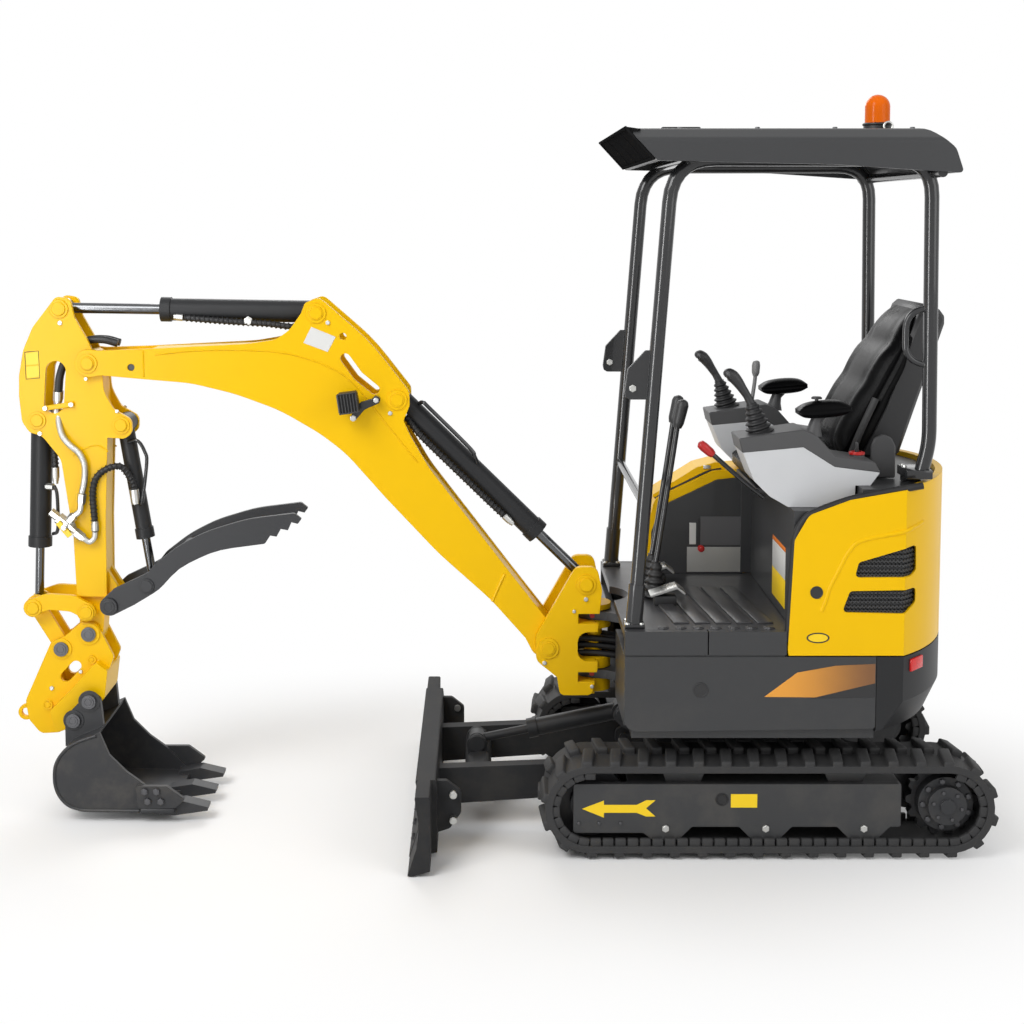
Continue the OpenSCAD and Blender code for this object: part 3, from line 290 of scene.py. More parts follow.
def lens(name, colour, rough):
    """Clear coloured plastic with a faint mould texture."""
    f = Finish(name)
    ripple = f.noise(120, 2)
    tone = f.mix(f.noise(12, 3) * 0.5, colour, tuple(c * 0.75 for c in colour))
    return f.shader(Base_Color=tone, Roughness=rough + ripple * 0.05, Transmission_Weight=0.05,
                    Specular_IOR_Level=0.10, IOR=1.49, Normal=f.bump(ripple, 0.1, 0.0005))


YELLOW = paint("yellow_paint", (0.93, 0.55, 0.001), (0.60, 0.36, 0.03), 0.28, dust=0.04, wear=0.06,
               coat=0.0, shine=0.14)
DARK = paint("dark_grey_paint", (0.042, 0.043, 0.045), (0.11, 0.11, 0.11), 0.36, wear=0.4)
BLACK = paint("black_frame_paint", (0.024, 0.0245, 0.026), (0.07, 0.07, 0.075), 0.13, dust=0.04, wear=0.25,
              coat=0.35)
SATIN = paint("satin_black_paint", (0.025, 0.0255, 0.027), (0.09, 0.09, 0.095), 0.40, dust=0.05, wear=0.3,
              coat=0.0, shine=0.18)
# The roof's front: a darker copy of the roof's dark grey paint, near black as painted shade
ROOF_FRONT_SHADE = paint("roof_front_painted_shade", (0.015, 0.015, 0.0155), (0.03, 0.03, 0.03), 0.42, dust=0.0, wear=0.1,
              coat=0.0, shine=0.0)
BLADE = paint("blade_paint", (0.034, 0.0345, 0.036), (0.09, 0.09, 0.095), 0.44, dust=0.05, wear=0.3,
              coat=0.0, shine=0.04)
STEEL = paint("dark_digging_steel", (0.030, 0.031, 0.034), (0.14, 0.14, 0.14), 0.42, dust=0.12, wear=0.7,
              coat=0.03)
TRACK = rubber("track_rubber", (0.026, 0.026, 0.027), 0.60, 130, 0.08)
MAT = rubber("floor_mat_rubber", (0.045, 0.045, 0.048), 0.26, 260, 0.06)
HOSE = rubber("hose_rubber", (0.010, 0.010, 0.011), 0.42, 340, 0.04)
CHROME = metal("chrome_rod", (0.13, 0.133, 0.138), 0.10, 0.05)
ZINC = metal("plated_fittings", (0.56, 0.56, 0.54), 0.28, 1.0)
BLACK_STEEL = metal("black_oxide_steel", (0.10, 0.10, 0.105), 0.38, 1.0)
CONSOLE = plastic("console_grey_plastic", (0.60, 0.61, 0.625), 0.48)
CONSOLE_DARK = plastic("console_dark_plastic", (0.062, 0.062, 0.064), 0.46)
LEVER_GREY = plastic("lever_grey_plastic", (0.22, 0.22, 0.22), 0.45)
PLASTIC = plastic("black_plastic", (0.014, 0.014, 0.015), 0.42)
RED = plastic("red_plastic", (0.55, 0.012, 0.010), 0.30, 300, 0.1)
VINYL = leather_cloth("seat_vinyl")
MARK = plastic("yellow_mark_film", (0.98, 0.66, 0.002), 0.45, 500, 0.05)
ORANGE = plastic("orange_mark_film", (0.85, 0.20, 0.006), 0.40, 500, 0.05)
WHITE = plastic("white_plate_film", (0.72, 0.72, 0.70), 0.38, 500, 0.05)
GREY_PLATE = plastic("grey_plate_film", (0.10, 0.10, 0.105), 0.38, 500, 0.05)
REFLECTOR = plastic("red_reflector", (0.72, 0.008, 0.006), 0.12, 260, 0.6)


def stripe():
    """A printed stripe that runs from orange at the front to dark brown at the tail, with a fine grain."""
    f = Finish("bronze_stripe_film")
    across = f.add("ShaderNodeSeparateXYZ", {}, {0: f.spot}, 0)
    share = f.step(across + f.noise(18, 3) * 0.02, -1.22, -0.90)
    base = f.mix(share, (0.20, 0.085, 0.028), (0.78, 0.33, 0.035))
    return f.shader(Base_Color=base, Roughness=0.35 + f.noise(60, 2) * 0.08)


def wire_mesh():
    """Black woven wire seen from the side: two sets of slanted wires, with the gaps between them painted
    near black as shade.
    """
    f = Finish("black_wire_mesh")
    x = f.add("ShaderNodeSeparateXYZ", {}, {0: f.spot}, 0)
    z = f.height()
    waves = [f.add("ShaderNodeMath", {"operation": "SINE"}, {0: line * 520.0}) for line in (x + z, x - z)]
    wires = f.add("ShaderNodeMath", {"operation": "MAXIMUM"}, {0: waves[0], 1: waves[1]})
    share = f.step(wires, 0.25, 0.75)
    # Near black in the gaps is painted shade; the wires are dark grey
    base = f.mix(share, (0.002, 0.002, 0.002), (0.045, 0.046, 0.048))
    return f.shader(Base_Color=base, Roughness=0.5 - share * 0.1, Normal=f.bump(wires, 0.6, 0.002),
                    Specular_IOR_Level=0.3)


STRIPE = stripe()
MESH = wire_mesh()
AMBER = lens("amber_lens", (0.95, 0.165, 0.001), 0.14)

NODE_FINISH = (
    (YELLOW, "swing_post boom arm quick_hitch side_covers bonnet guide_link bucket_link tank_cover"),
    (DARK, "track_frames car_body skirts revolving_frame top_deck tank_panel canopy_roof"),
    (BLACK, "canopy_frame"),
    (SATIN, "counterweight blade_rod blade_barrel boom_barrel arm_barrel bucket_barrel thumb_barrel"),
    (BLADE, "blade"),
    (STEEL, "bucket thumb sprockets idlers track_rollers engine"),
    (TRACK, "track_left track_right"),
    (MAT, "floor_plate"),
    (CHROME, "boom_rod arm_rod bucket_rod thumb_rod"),
    (CONSOLE, "consoles"),
    (PLASTIC, "controls work_light beacon_base"),
    (MESH, "grilles"),
    (VINYL, "seat"),
    (AMBER, "beacon_lens"),
)
for finish, names in NODE_FINISH:
    for name in names.split():
        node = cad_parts[name]
        node.data.materials.clear()
        node.data.materials.append(finish)

# Modelling helpers
LEFT, RIGHT, UP = Vector((0, 1, 0)), Vector((0, -1, 0)), Vector((0, 0, 1))


def start():
    if bpy.context.mode != "OBJECT":
        bpy.ops.object.mode_set(mode="OBJECT")
    bpy.ops.object.select_all(action="DESELECT")


def pick(keep):
    """Edit mode with only the faces for which keep(face) holds selected."""
    o = bpy.context.active_object
    bpy.ops.object.mode_set(mode="EDIT")
    bpy.ops.mesh.select_mode(type="FACE")
    bpy.ops.mesh.select_all(action="DESELECT")
    bpy.ops.object.mode_set(mode="OBJECT")
    for face in o.data.polygons:
        face.select = keep(face)
    bpy.ops.object.mode_set(mode="EDIT")


def settle(name, body, finish, angle=35):
    """The active object as a finished piece: smoothed, painted and carried by its body."""
    if bpy.context.mode != "OBJECT":
        bpy.ops.object.mode_set(mode="OBJECT")
    o = bpy.context.active_object
    bpy.ops.object.transform_apply(location=True, rotation=True, scale=True)
    bpy.ops.object.shade_smooth_by_angle(angle=math.radians(angle))
    o.name = o.data.name = name
    o.data.materials.clear()
    o.data.materials.append(finish)
    if body:
        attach(o, body)
    return o


def block(low, high, bevel=3.0, steps=2):
    """A box between two corners in millimetres from the slew axis, with its edges rounded."""
    start()
    a, b = place(*low), place(*high)
    bpy.ops.mesh.primitive_cube_add(size=1, location=(a + b) / 2, scale=b - a)
    bpy.ops.object.transform_apply(location=True, rotation=True, scale=True)
    bpy.ops.object.mode_set(mode="EDIT")
    bpy.ops.mesh.select_all(action="SELECT")
    bpy.ops.mesh.bevel(offset=bevel / 1000, segments=steps)
    bpy.ops.object.mode_set(mode="OBJECT")
    return bpy.context.active_object


def plate(outline, y0, y1, bevel=1.0):
    """A flat plate with an outline in X and Z, between two distances from the middle."""
    start()
    bpy.ops.mesh.primitive_circle_add(vertices=len(outline), radius=1, fill_type="NGON")
    o = bpy.context.active_object
    for v, (x, z) in zip(o.data.vertices, outline):
        v.co = place(x, y0, z)
    pick(lambda face: True)
    bpy.ops.mesh.extrude_region_move(TRANSFORM_OT_translate={"value": (0, (y1 - y0) / 1000, 0)})
    bpy.ops.mesh.select_all(action="SELECT")
    bpy.ops.mesh.normals_make_consistent(inside=False)
    if bevel:
        bpy.ops.mesh.bevel(offset=bevel / 1000, segments=1)
    bpy.ops.object.mode_set(mode="OBJECT")
    return o


def turned(point, axis, r, h, steps=(), sides=28):
    """A round boss along an axis from a point; each step insets its end face and raises or sinks it."""
    start()
    axis = Vector(axis).normalized()
    bpy.ops.mesh.primitive_cylinder_add(vertices=sides, radius=r / 1000, depth=h / 1000,
                                        location=point + axis * (h / 2000),
                                        rotation=axis.to_track_quat("Z", "Y").to_euler())
    bpy.ops.object.transform_apply(location=True, rotation=True, scale=True)
    pick(lambda face: face.normal.dot(axis) > 0.98)
    for inset, rise in steps:
        bpy.ops.mesh.inset(thickness=inset / 1000, depth=0)
        bpy.ops.mesh.extrude_region_move(TRANSFORM_OT_translate={"value": axis * (rise / 1000)})
    bpy.ops.object.mode_set(mode="OBJECT")
    return bpy.context.active_object


def boss(side, x, y, z, r, h, steps=(), sides=28):
    """A round boss that points outward on one side of the machine."""
    return turned(place(x, side * y, z), (0, side, 0), r, h, steps, sides)


def join(pieces):
    """Several made objects as one, which is then the active object."""
    start()
    for o in pieces:
        o.select_set(True)
    bpy.context.view_layer.objects.active = pieces[0]
    if len(pieces) > 1:
        bpy.ops.object.join()
    return bpy.context.active_object


def set_at(point, axis, size):
    """Where a model made at the origin along +Z goes."""
    turn = Vector(axis).to_track_quat("Z", "Y").to_matrix().to_4x4()
    return Matrix.Translation(point) @ turn @ Matrix.Scale(size, 4)


def copies(model, spots):
    """Copies of a model made at the origin, each with its own mesh, at the given matrices."""
    made = []
    for spot in spots:
        o = model.copy()
        o.data = model.data.copy()
        scene.collection.objects.link(o)
        o.data.transform(spot)
        made.append(o)
    bpy.data.objects.remove(model)
    return join(made)


def smooth_path(points, steps=8):
    """A smooth line through points in metres."""
    pts = [Vector(p) for p in points]
    pts = [pts[0] * 2 - pts[1]] + pts + [pts[-1] * 2 - pts[-2]]
    line = []
    for a, b, c, d in zip(pts, pts[1:], pts[2:], pts[3:]):
        for i in range(steps):
            t = i / steps
            bow, twist = 2 * a - 5 * b + 4 * c - d, 3 * b - a - 3 * c + d
            line.append(0.5 * (2 * b + (c - a) * t + bow * t * t + twist * t ** 3))
    return line + [pts[-2]]


def tube(points, r, sides=3, steps=8, widths=None):
    """A round line of radius r through points in millimetres; widths scale it along the way."""
    start()
    line = smooth_path([place(*p) for p in points], steps) if steps > 1 else [place(*p) for p in points]
    data = bpy.data.curves.new("line", "CURVE")
    data.dimensions = "3D"
    data.bevel_depth, data.bevel_resolution, data.use_fill_caps = r / 1000, sides, True
    spline = data.splines.new("POLY")
    spline.points.add(len(line) - 1)
    for point, co in zip(spline.points, line):
        point.co = (*co, 1)
    for i, point in enumerate(spline.points if widths else ()):
        k = i * (len(widths) - 1) / (len(line) - 1)
        a, b = widths[int(k)], widths[min(int(k) + 1, len(widths) - 1)]
        point.radius = a + (b - a) * (k - int(k))
    o = bpy.data.objects.new("line", data)
    scene.collection.objects.link(o)
    o.select_set(True)
    bpy.context.view_layer.objects.active = o
    bpy.ops.object.convert(target="MESH")
    return bpy.context.active_object


def guard(points, r, pitch, wire):
    """A spiral guard wound round a hose's line."""
    line = smooth_path([place(*p) for p in points], 10)
    turns, run = [], 0.0
    side = Vector((0, 1, 0))
    for a, b in zip(line, line[1:]):
        along = (b - a).normalized()
        u = (side - along * side.dot(along)).normalized()
        v = along.cross(u)
        n = max(1, round((b - a).length / (pitch / 8000)))
        for i in range(n):
            angle = 2 * math.pi * (run + (b - a).length * i / n) * 1000 / pitch
            p = a + (b - a) * (i / n) + (u * math.cos(angle) + v * math.sin(angle)) * (r / 1000)
            turns.append(((p.x * 1000 + SLEW_X), p.y * 1000, p.z * 1000))
        run += (b - a).length
    return tube(turns, wire, 1, 1)


def guarded(name, body, finish, run, r, winding=11, pitch=16, wire=2.6):
    """A hose of radius r along a run, with its spiral guard."""
    join([tube(run, r), guard(run, winding, pitch, wire)])
    return settle(name, body, finish)


# Pins, keeper bolts and bolts, on both sides of the boom, arm and links
bolt_model = turned(Vector((0, 0, 0)), UP, 8, 5, ((1.2, 1.0),), 6)


def bolt():
    o = bolt_model.copy()
    o.data = bolt_model.data.copy()
    scene.collection.objects.link(o)
    return o


def pin_heads(name, body, finish, spots):
    """Stepped round pin heads on both sides, each at (x, z, distance from the middle, radius)."""
    made = []
    for x, z, y, r in spots:
        for side in (1, -1):
            made.append(boss(side, x, y, z, r, 4, ((r * 0.28, 2.0), (r * 0.2, -1.2), (r * 0.12, 0.8))))
    join(made)
    return settle(name, body, finish)


pin_heads("boom_pin_heads", "boom", YELLOW, [(1198.6, 1418.8, BOOM_FACE, 34),
                                             (1469.8, 1712.0, BOOM_FACE, 34),
                                             (2239.8, 1542.3, BOOM_FACE, 33)])
pin_heads("arm_pin_heads", "arm", YELLOW, [(2418.9, 1347.0, ARM_FACE, 30), (2135.2, 1330.1, ARM_FACE, 30),
                                           (2338.0, 1725.4, ARM_FACE, 32)])
pin_heads("post_pin_heads", "swing_post", YELLOW, [(687, 572, POST_FACE, 36), (559, 792, POST_FACE, 34)])
pin_heads("guide_pin_heads", "guide_link", YELLOW, [(2442.6, 705.6, 78, 30)])
pin_heads("arm_end_pin_heads", "arm", YELLOW, [(2261.6, 690.6, 79, 27)])
pin_heads("thumb_pivot_heads", "arm", STEEL, [(2176.0, 717.8, 111, 29)])
pin_heads("hitch_pin_collars", "bucket", YELLOW, [(2259.3, 609.5, HITCH_FACE, 38),
                                                  (2354.3, 557.5, HITCH_FACE, 36)])
pin_heads("hitch_pin_heads", "bucket", BLACK_STEEL, [(2259.3, 609.5, 62, 25), (2354.3, 557.5, 62, 25)])
pin_heads("bucket_pin_collars", "bucket", STEEL, [(2245.3, 394.5, 121, 37), (2299.6, 329.1, 121, 35)])
pin_heads("bucket_pin_heads", "bucket", BLACK_STEEL, [(2245.3, 394.5, 130, 24), (2299.6, 329.1, 130, 24)])
pin_heads("thumb_pin_heads", "thumb", STEEL, [(2047.5, 787.9, 107, 25)])


def bolts(name, body, finish, spots):
    """Hexagon bolts at (x, y, z, axis, size)."""
    copies(bolt(), [set_at(place(x, y, z), axis, size) for x, y, z, axis, size in spots])
    return settle(name, body, finish, 25)


def both(x, z, y, size=1.0):
    return [(x, y, z, LEFT, size), (x, -y, z, RIGHT, size)]


bolts("boom_keeper_bolts", "boom", ZINC, both(1222, 1374, BOOM_FACE) + both(1430, 1680, BOOM_FACE)
      + both(2246, 1490, BOOM_FACE, 0.8))
bolts("arm_keeper_bolts", "arm", ZINC, both(2410, 1302, ARM_FACE) + both(2148, 1378, ARM_FACE, 0.8)
      + both(2334, 1678, ARM_FACE))
bolts("post_keeper_bolts", "swing_post", ZINC, both(560, 742, POST_FACE) + both(600, 700, POST_FACE, 0.8)
      + both(538, 440, POST_FACE, 0.9) + both(700, 522, POST_FACE))
bolts("hitch_bolts", "bucket", ZINC, both(2390, 420, HITCH_FACE) + both(2290, 478, HITCH_FACE, 0.9))
spots = ((2044, 112), (2034, 78), (1990, 78), (2004, 112))
bolts("cutter_bolts", "bucket", BLACK_STEEL, [b for x, z in spots for b in both(x, z, 204, 1.5)])

# Bucket: raised edges on the side plates, wear plates under the cutters, round bosses on the hitch
edge = [(2208, 298), (2262, 280), (2298, 260), (2326, 232), (2344, 200), (2350, 165), (2347, 122),
        (2332, 86), (2306, 59), (2274, 46), (2240, 41), (2150, 40), (2066, 39)]
join([tube([(x, side * 189, z) for x, z in edge], 6, 3) for side in (1, -1)])
settle("bucket_edge_beads", "bucket", STEEL, 60)
join([block((1946, side * 195 - 9, 34), (2060, side * 195 + 9, 52), 4) for side in (1, -1)])
settle("bucket_wear_plates", "bucket", STEEL)
join([boss(side, x, HITCH_FACE, z, r, 5, ((4, -1.5), (4, 1.5)))
      for side in (1, -1) for x, z, r in ((2404, 362, 17), (2250, 520, 15))])
settle("hitch_bosses", "bucket", YELLOW)

# Running gear: bolts of motor covers, frames and rollers, direction arrows, blank plate, hole plugs
ring = []
for side, axis in ((1, LEFT), (-1, RIGHT)):
    for i in range(9):
        a = 2 * math.pi * i / 9
        ring.append((-570 + 75 * math.cos(a), side * 443, AXLE_Z + 75 * math.sin(a), axis, 1.2))
    for i in range(6):
        a = 2 * math.pi * i / 6 + 0.2
        ring.append((-570 + 46 * math.cos(a), side * 465, AXLE_Z + 46 * math.sin(a), axis, 0.8))
    for x in (605, 540, 472):
        ring.append((x, side * FRAME_FACE, 112, axis, 0.7))
bolts("motor_cover_bolts", "undercarriage", BLACK_STEEL, ring)
bolts("roller_bolts", "undercarriage", ZINC, [(x, side * FRAME_FACE, 96, (0, side, 0), 1.5)
                                              for side in (1, -1) for x in (329, 11, -301)])
arrow = [(595, 159), (525, 186), (525, 172), (421, 172), (391, 187), (361, 187), (391, 161), (361, 134),
         (391, 134), (421, 146), (525, 146), (525, 130)]
join([plate(arrow, side * FRAME_FACE - 0.4, side * FRAME_FACE + 0.6, 0) for side in (1, -1)])
settle("direction_arrows", "undercarriage", MARK)
plate([(122, 207), (38, 207), (38, 163), (122, 163)], FRAME_FACE - 0.3, FRAME_FACE + 0.9, 0.2)
settle("blank_frame_plate", "undercarriage", MARK)
join([boss(side, 150, FRAME_FACE, 190, 21, 1.5, ((4, -1.0),)) for side in (1, -1)])
settle("frame_hole_plugs", "undercarriage", HOSE)

# Track: a belt with two rows of rounded lugs, slanted and lower towards the track's edges
BELT_OUT, BELT_THICK, HALF_LOOP, LUGS = 141.0, 22.0, 570.0, 36
TRACK_IN, TRACK_OUT = 265, 495
LOOP = 4 * HALF_LOOP + 2 * math.pi * BELT_OUT


def on_belt(s, r=BELT_OUT):
    """X, Z and slope on a loop with ends of radius r, at a distance from the top of the rear end."""
    bend = math.pi * r
    s %= 4 * HALF_LOOP + 2 * bend
    if s < 2 * HALF_LOOP:
        return s - HALF_LOOP, r, 0.0
    if s < 2 * HALF_LOOP + bend:
        a = (s - 2 * HALF_LOOP) / r
        return HALF_LOOP + r * math.sin(a), r * math.cos(a), a
    if s < 4 * HALF_LOOP + bend:
        return 3 * HALF_LOOP + bend - s, -r, math.pi
    a = (s - 4 * HALF_LOOP - bend) / r
    return -HALF_LOOP - r * math.sin(a), -r * math.cos(a), math.pi + a


def track_belt(side):
    start()
    count = 120
    bpy.ops.mesh.primitive_circle_add(vertices=count, radius=1)
    o = bpy.context.active_object
    for v in o.data.vertices:
        x, z, _ = on_belt(v.index * LOOP / count)
        v.co = place(x, side * TRACK_IN, AXLE_Z + z)
    bpy.ops.object.mode_set(mode="EDIT")
    bpy.ops.mesh.select_mode(type="EDGE")
    bpy.ops.mesh.select_all(action="SELECT")
    across = (0, side * (TRACK_OUT - TRACK_IN) / 1000, 0)
    bpy.ops.mesh.extrude_region_move(TRANSFORM_OT_translate={"value": across})
    bpy.ops.mesh.select_all(action="SELECT")
    bpy.ops.mesh.normals_make_consistent(inside=False)
    bpy.ops.object.mode_set(mode="OBJECT")
    thick = o.modifiers.new("thick", "SOLIDIFY")
    thick.thickness, thick.offset, thick.use_even_offset = BELT_THICK / 1000, -1, True
    bpy.ops.object.modifier_apply(modifier="thick")
    return o


def track_lugs(side, row, y0, y1):
    """One row of lugs, with the end at y1 lower and narrower than the end at y0."""
    wide = abs(y1 - y0) / 2
    lug = block((SLEW_X - 23, -wide, -6), (SLEW_X + 23, wide, 21), 7, 3)
    outward = 1 if y1 > y0 else -1
    for v in lug.data.vertices:
        end = max(0.0, outward * v.co.y * 1000 / wide)
        if v.co.z > 0:
            v.co.z *= 1 - 0.30 * end ** 2
            v.co.x *= 0.80
        v.co.x *= 1 - 0.12 * end
        v.co.x += outward * side * v.co.y * 0.12
    spots = []
    for i in range(LUGS):
        x, z, slope = on_belt((i + row) * LOOP / LUGS)
        middle = place(x, (y0 + y1) / 2, AXLE_Z + z)
        spots.append(Matrix.Translation(middle) @ Matrix.Rotation(slope, 4, "Y"))
    return copies(lug, spots)


for side, name in SIDES:
    middle = (TRACK_IN + TRACK_OUT) / 2
    join([track_belt(side), track_lugs(side, 0, side * middle, side * TRACK_OUT),
          track_lugs(side, 0.5, side * middle, side * TRACK_IN)])
    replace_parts(settle(f"track_belt_{name}", "undercarriage", TRACK, 40), f"track_{name}")

# Track: guide blocks on the inside of the belt, near both edges, round the ends and along the ground
guide = block((SLEW_X - 17, -8, -4), (SLEW_X + 17, 8, 24), 4)
BELT_IN, GUIDES = 119.5, 48
spots = []
for i in range(GUIDES):
    x, z, slope = on_belt(2 * HALF_LOOP + i * (2 * HALF_LOOP + 2 * math.pi * BELT_IN) / GUIDES, BELT_IN)
    turn = Matrix.Rotation(slope + math.pi, 4, "Y")
    for y in (484, 276):
        spots += [Matrix.Translation(place(x, side * y, AXLE_Z + z)) @ turn for side in (1, -1)]
copies(guide, spots)
settle("track_guide_blocks", "undercarriage", TRACK)

# Boom: blank plate, weld lines, black discs sunk in the holes as painted shade, lamp
plate([(1513, 1612), (1486, 1666), (1404, 1632), (1431, 1581)], BOOM_FACE - 0.2, BOOM_FACE + 0.9, 0.2)
settle("blank_boom_plate", "boom", WHITE)
seam = [(2010, 1572), (1900, 1584), (1772, 1588), (1640, 1584), (1533, 1568), (1418, 1526), (1339, 1468),
        (1229, 1330), (1130, 1206)]
join([tube([(x, side * (BOOM_FACE + 0.2), z) for x, z in seam], 2.6, 2) for side in (1, -1)]
     + [tube([(2052, side * BOOM_FACE, z) for z in (1498, 1530, 1560, 1584)], 3.2, 2) for side in (1, -1)]
     + [tube([(836, side * 77, 822), (857, side * 77, 775), (878, side * 77, 728)], 5, 2)
        for side in (1, -1)])
settle("boom_weld_beads", "boom", YELLOW)
# Black discs sunk in the boom's holes: painted shade inside each hole
join([boss(side, 2093.7, 72, 1528.8, 11.5, 3, ((2, -1),)) for side in (1, -1)])
settle("boom_hole_shade_discs", "boom", PLASTIC)


def lamp_spot(along, up):
    """A point in the lamp's own length and height, as machine X and Z; it leans 8 degrees forward."""
    return 1357 + along * 0.990 + up * 0.139, 1418 - along * 0.139 + up * 0.990


def lamp_box(low, high, y0, y1, bevel):
    (a, c), (b, d) = low, high
    return plate([lamp_spot(*corner) for corner in ((a, c), (b, c), (b, d), (a, d))], y0, y1, bevel)


join([lamp_box((-33, -35), (33, 35), 112, 164, 5), lamp_box((-33, 30), (33, 35), 160, 173, 1.5),
      lamp_box((-33, -35), (33, -30), 160, 173, 1.5)]
     + [lamp_box((u - 2.4, -31), (u + 2.4, 31), 160, 172, 1) for u in (-30, -20, -10, 0, 10, 20, 30)])
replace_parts(settle("work_lamp_body", "boom", PLASTIC), "work_light")
lamp_box((31, -30), (36, 30), 117, 159, 1.5)
settle("work_lamp_glass", "boom", GREY_PLATE)
strap = [(1258, 1434), (1256, 1412), (1306, 1390), (1338, 1352), (1352, 1356), (1350, 1372), (1330, 1404),
         (1318, 1416)]
join([plate(strap, 105, 113, 1.5), turned(place(1267, 77, 1422), LEFT, 13, 28, ((3, 1),))])
settle("work_lamp_bracket", "boom", BLACK)
bolts("lamp_bracket_bolts", "boom", ZINC, [(1267, 113, 1422, LEFT, 1.2), (1344, 113, 1362, LEFT, 1.4)])

# Boom cylinder: steel pipe and hose with its spiral guard
boom_pipe = [(1127, 20, 1400), (1112, 40, 1406), (1090, 44, 1386), (956, 44, 1252), (938, 40, 1222),
             (928, 26, 1196)]
tube(boom_pipe, 7)
settle("boom_cylinder_pipe", "boom_barrel", BLACK)
run = [(1168, 30, 1352), (1130, 44, 1304), (1089, 48, 1262), (972, 48, 1148), (880, 46, 1058),
       (836, 40, 1016)]
guarded("boom_cylinder_hose", "boom_barrel", HOSE, run, 10)
join([turned(place(836, 40, 1016), (-0.72, 0, -0.69), 12, 26, ((2, 10), (2, 6))),
      turned(place(1172, 30, 1358), (0.7, 0, 0.72), 12, 14, ((2, 8),))])
settle("boom_hose_fittings", "boom_barrel", ZINC)

# Arm cylinder: hose and fittings
run = [(1500, 34, 1662), (1560, 40, 1664), (1640, 40, 1674), (1740, 40, 1680), (1850, 38, 1688),
       (1920, 34, 1694)]
guarded("arm_cylinder_hose", "arm_barrel", HOSE, run, 10)
join([turned(place(1925, 34, 1694), (0.98, 0, 0.1), 12, 22, ((2, 8),)),
      turned(place(1702, 38, 1684), LEFT, 15, 12, ((3, 3),), 6)])
settle("arm_hose_fittings", "arm_barrel", ZINC)

# Arm: hose clamp over the long opening, plated hose, ball valve, hose to the thumb cylinder
plate([(2292, 1412), (2398, 1396), (2396, 1380), (2290, 1394)], ARM_FACE, ARM_FACE + 8, 1.5)
settle("hose_clamp_bar", "arm", YELLOW)
bolts("hose_clamp_bolts", "arm", ZINC, [(2300, 68, 1402, LEFT, 1.1), (2388, 68, 1389, LEFT, 1.1)])
for name, y, x in (("left", 24, 0), ("right", -14, 8)):
    tube([(2150, y, 1606), (2200, y, 1618), (2262, y, 1612), (2318 + x, y, 1566), (2346 + x, y + 6, 1500),
          (2352 + x, y + 14, 1440)], 13)
    hose = settle(f"arm_feed_hose_{name}", None, HOSE)
    place(2170, 0, 1600)
    place(2330, 0, 1540)
    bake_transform(hose)
join([turned(place(2352, 38, 1442), (0.05, 0, -1), 16, 30, ((3, 10), (2, 14))),
      turned(place(2360, 0, 1442), (0.05, 0, -1), 16, 30, ((3, 10), (2, 14))),
      turned(place(2356, 40, 1390), (0.1, 0.2, -1), 13, 26, ((2, 6),))])
settle("arm_feed_fittings", "arm", ZINC)
run = [(2350, 44, 1372), (2344, 62, 1335), (2330, 74, 1296), (2304, 76, 1264), (2274, 76, 1237),
       (2257, 76, 1196), (2259, 76, 1142), (2268, 76, 1100)]
guarded("braided_arm_hose", "arm", ZINC, run, 10.5, 10.3, 4.5, 1.3)
along = Vector((-0.77, 0, -0.64))
valve = [turned(place(x, y, z), axis, r, h, steps, 6) for x, y, z, axis, r, h, steps in (
    (2374, 78, 1038, along, 15, 30, ((3, 4),)), (2349, 78, 1017, along, 21, 60, ((4, 6), (3, 8))),
    (2292, 78, 968, along, 16, 32, ((3, 6),)), (2322, 78, 992, (-0.64, 0, 0.77), 16, 40, ((3, 6),)),
    (2268, 76, 1098, (0.1, 0, -1), 15, 30, ((2, 6),)), (2322, 60, 992, LEFT, 13, 38, ((3, 6),)))]
join(valve + [tube([(2272, 76, 1066), (2276, 77, 1040), (2296, 78, 1022)], 10, 2),
              tube([(2264, 78, 946), (2244, 77, 934), (2228, 76, 948), (2226, 74, 972)], 10, 2)])
settle("arm_ball_valve", "arm", ZINC)
plate([(2338, 1012), (2352, 1000), (2312, 952), (2296, 964)], 100, 104, 1.2)
settle("valve_handle", "arm", MARK)
bolts("valve_handle_nut", "arm", ZINC, [(2324, 104, 988, LEFT, 1.2)])
run = [(2226, 74, 968), (2229, 72, 1025), (2233, 70, 1097), (2221, 68, 1151), (2185, 64, 1182),
       (2141, 56, 1189), (2117, 44, 1158), (2104, 36, 1127), (2100, 32, 1096)]
guarded("thumb_feed_hose", "arm", HOSE, run, 10.5, pitch=14)
turned(place(2101, 33, 1106), (-0.1, 0, -1), 16, 42, ((2, 8),))
settle("thumb_hose_fitting", "thumb_barrel", ZINC)
turned(place(2226, 74, 972), (0, 0, 1), 13, 26, ((2, 6),))
settle("thumb_feed_fitting", "arm", ZINC)
tube([(2120, 26, 1268), (2086, 34, 1274), (2062, 34, 1236), (2056, 34, 1196), (2074, 32, 1066),
      (2088, 20, 1056)], 6)
settle("thumb_cylinder_pipe", "thumb_barrel", BLACK)
run = [(2362, 30, 1330), (2370, 33, 1284), (2370, 33, 1230), (2368, 33, 1178)]
guarded("bucket_cylinder_hose", "bucket_barrel", HOSE, run, 10.5, pitch=14)
join([turned(place(2368, 33, 1182), (0, 0, -1), 13, 36, ((2, 10), (2, 10))),
      turned(place(2374, 40, 1116), (0.9, -0.2, 0), 12, 22, ((2, 6),), 6)])
settle("bucket_hose_fitting", "bucket_barrel", ZINC)
tube([(2372, 40, 1120), (2362, 42, 1090), (2360, 42, 1000), (2366, 36, 960), (2384, 22, 950)], 6)
settle("bucket_cylinder_pipe", "bucket_barrel", BLACK)
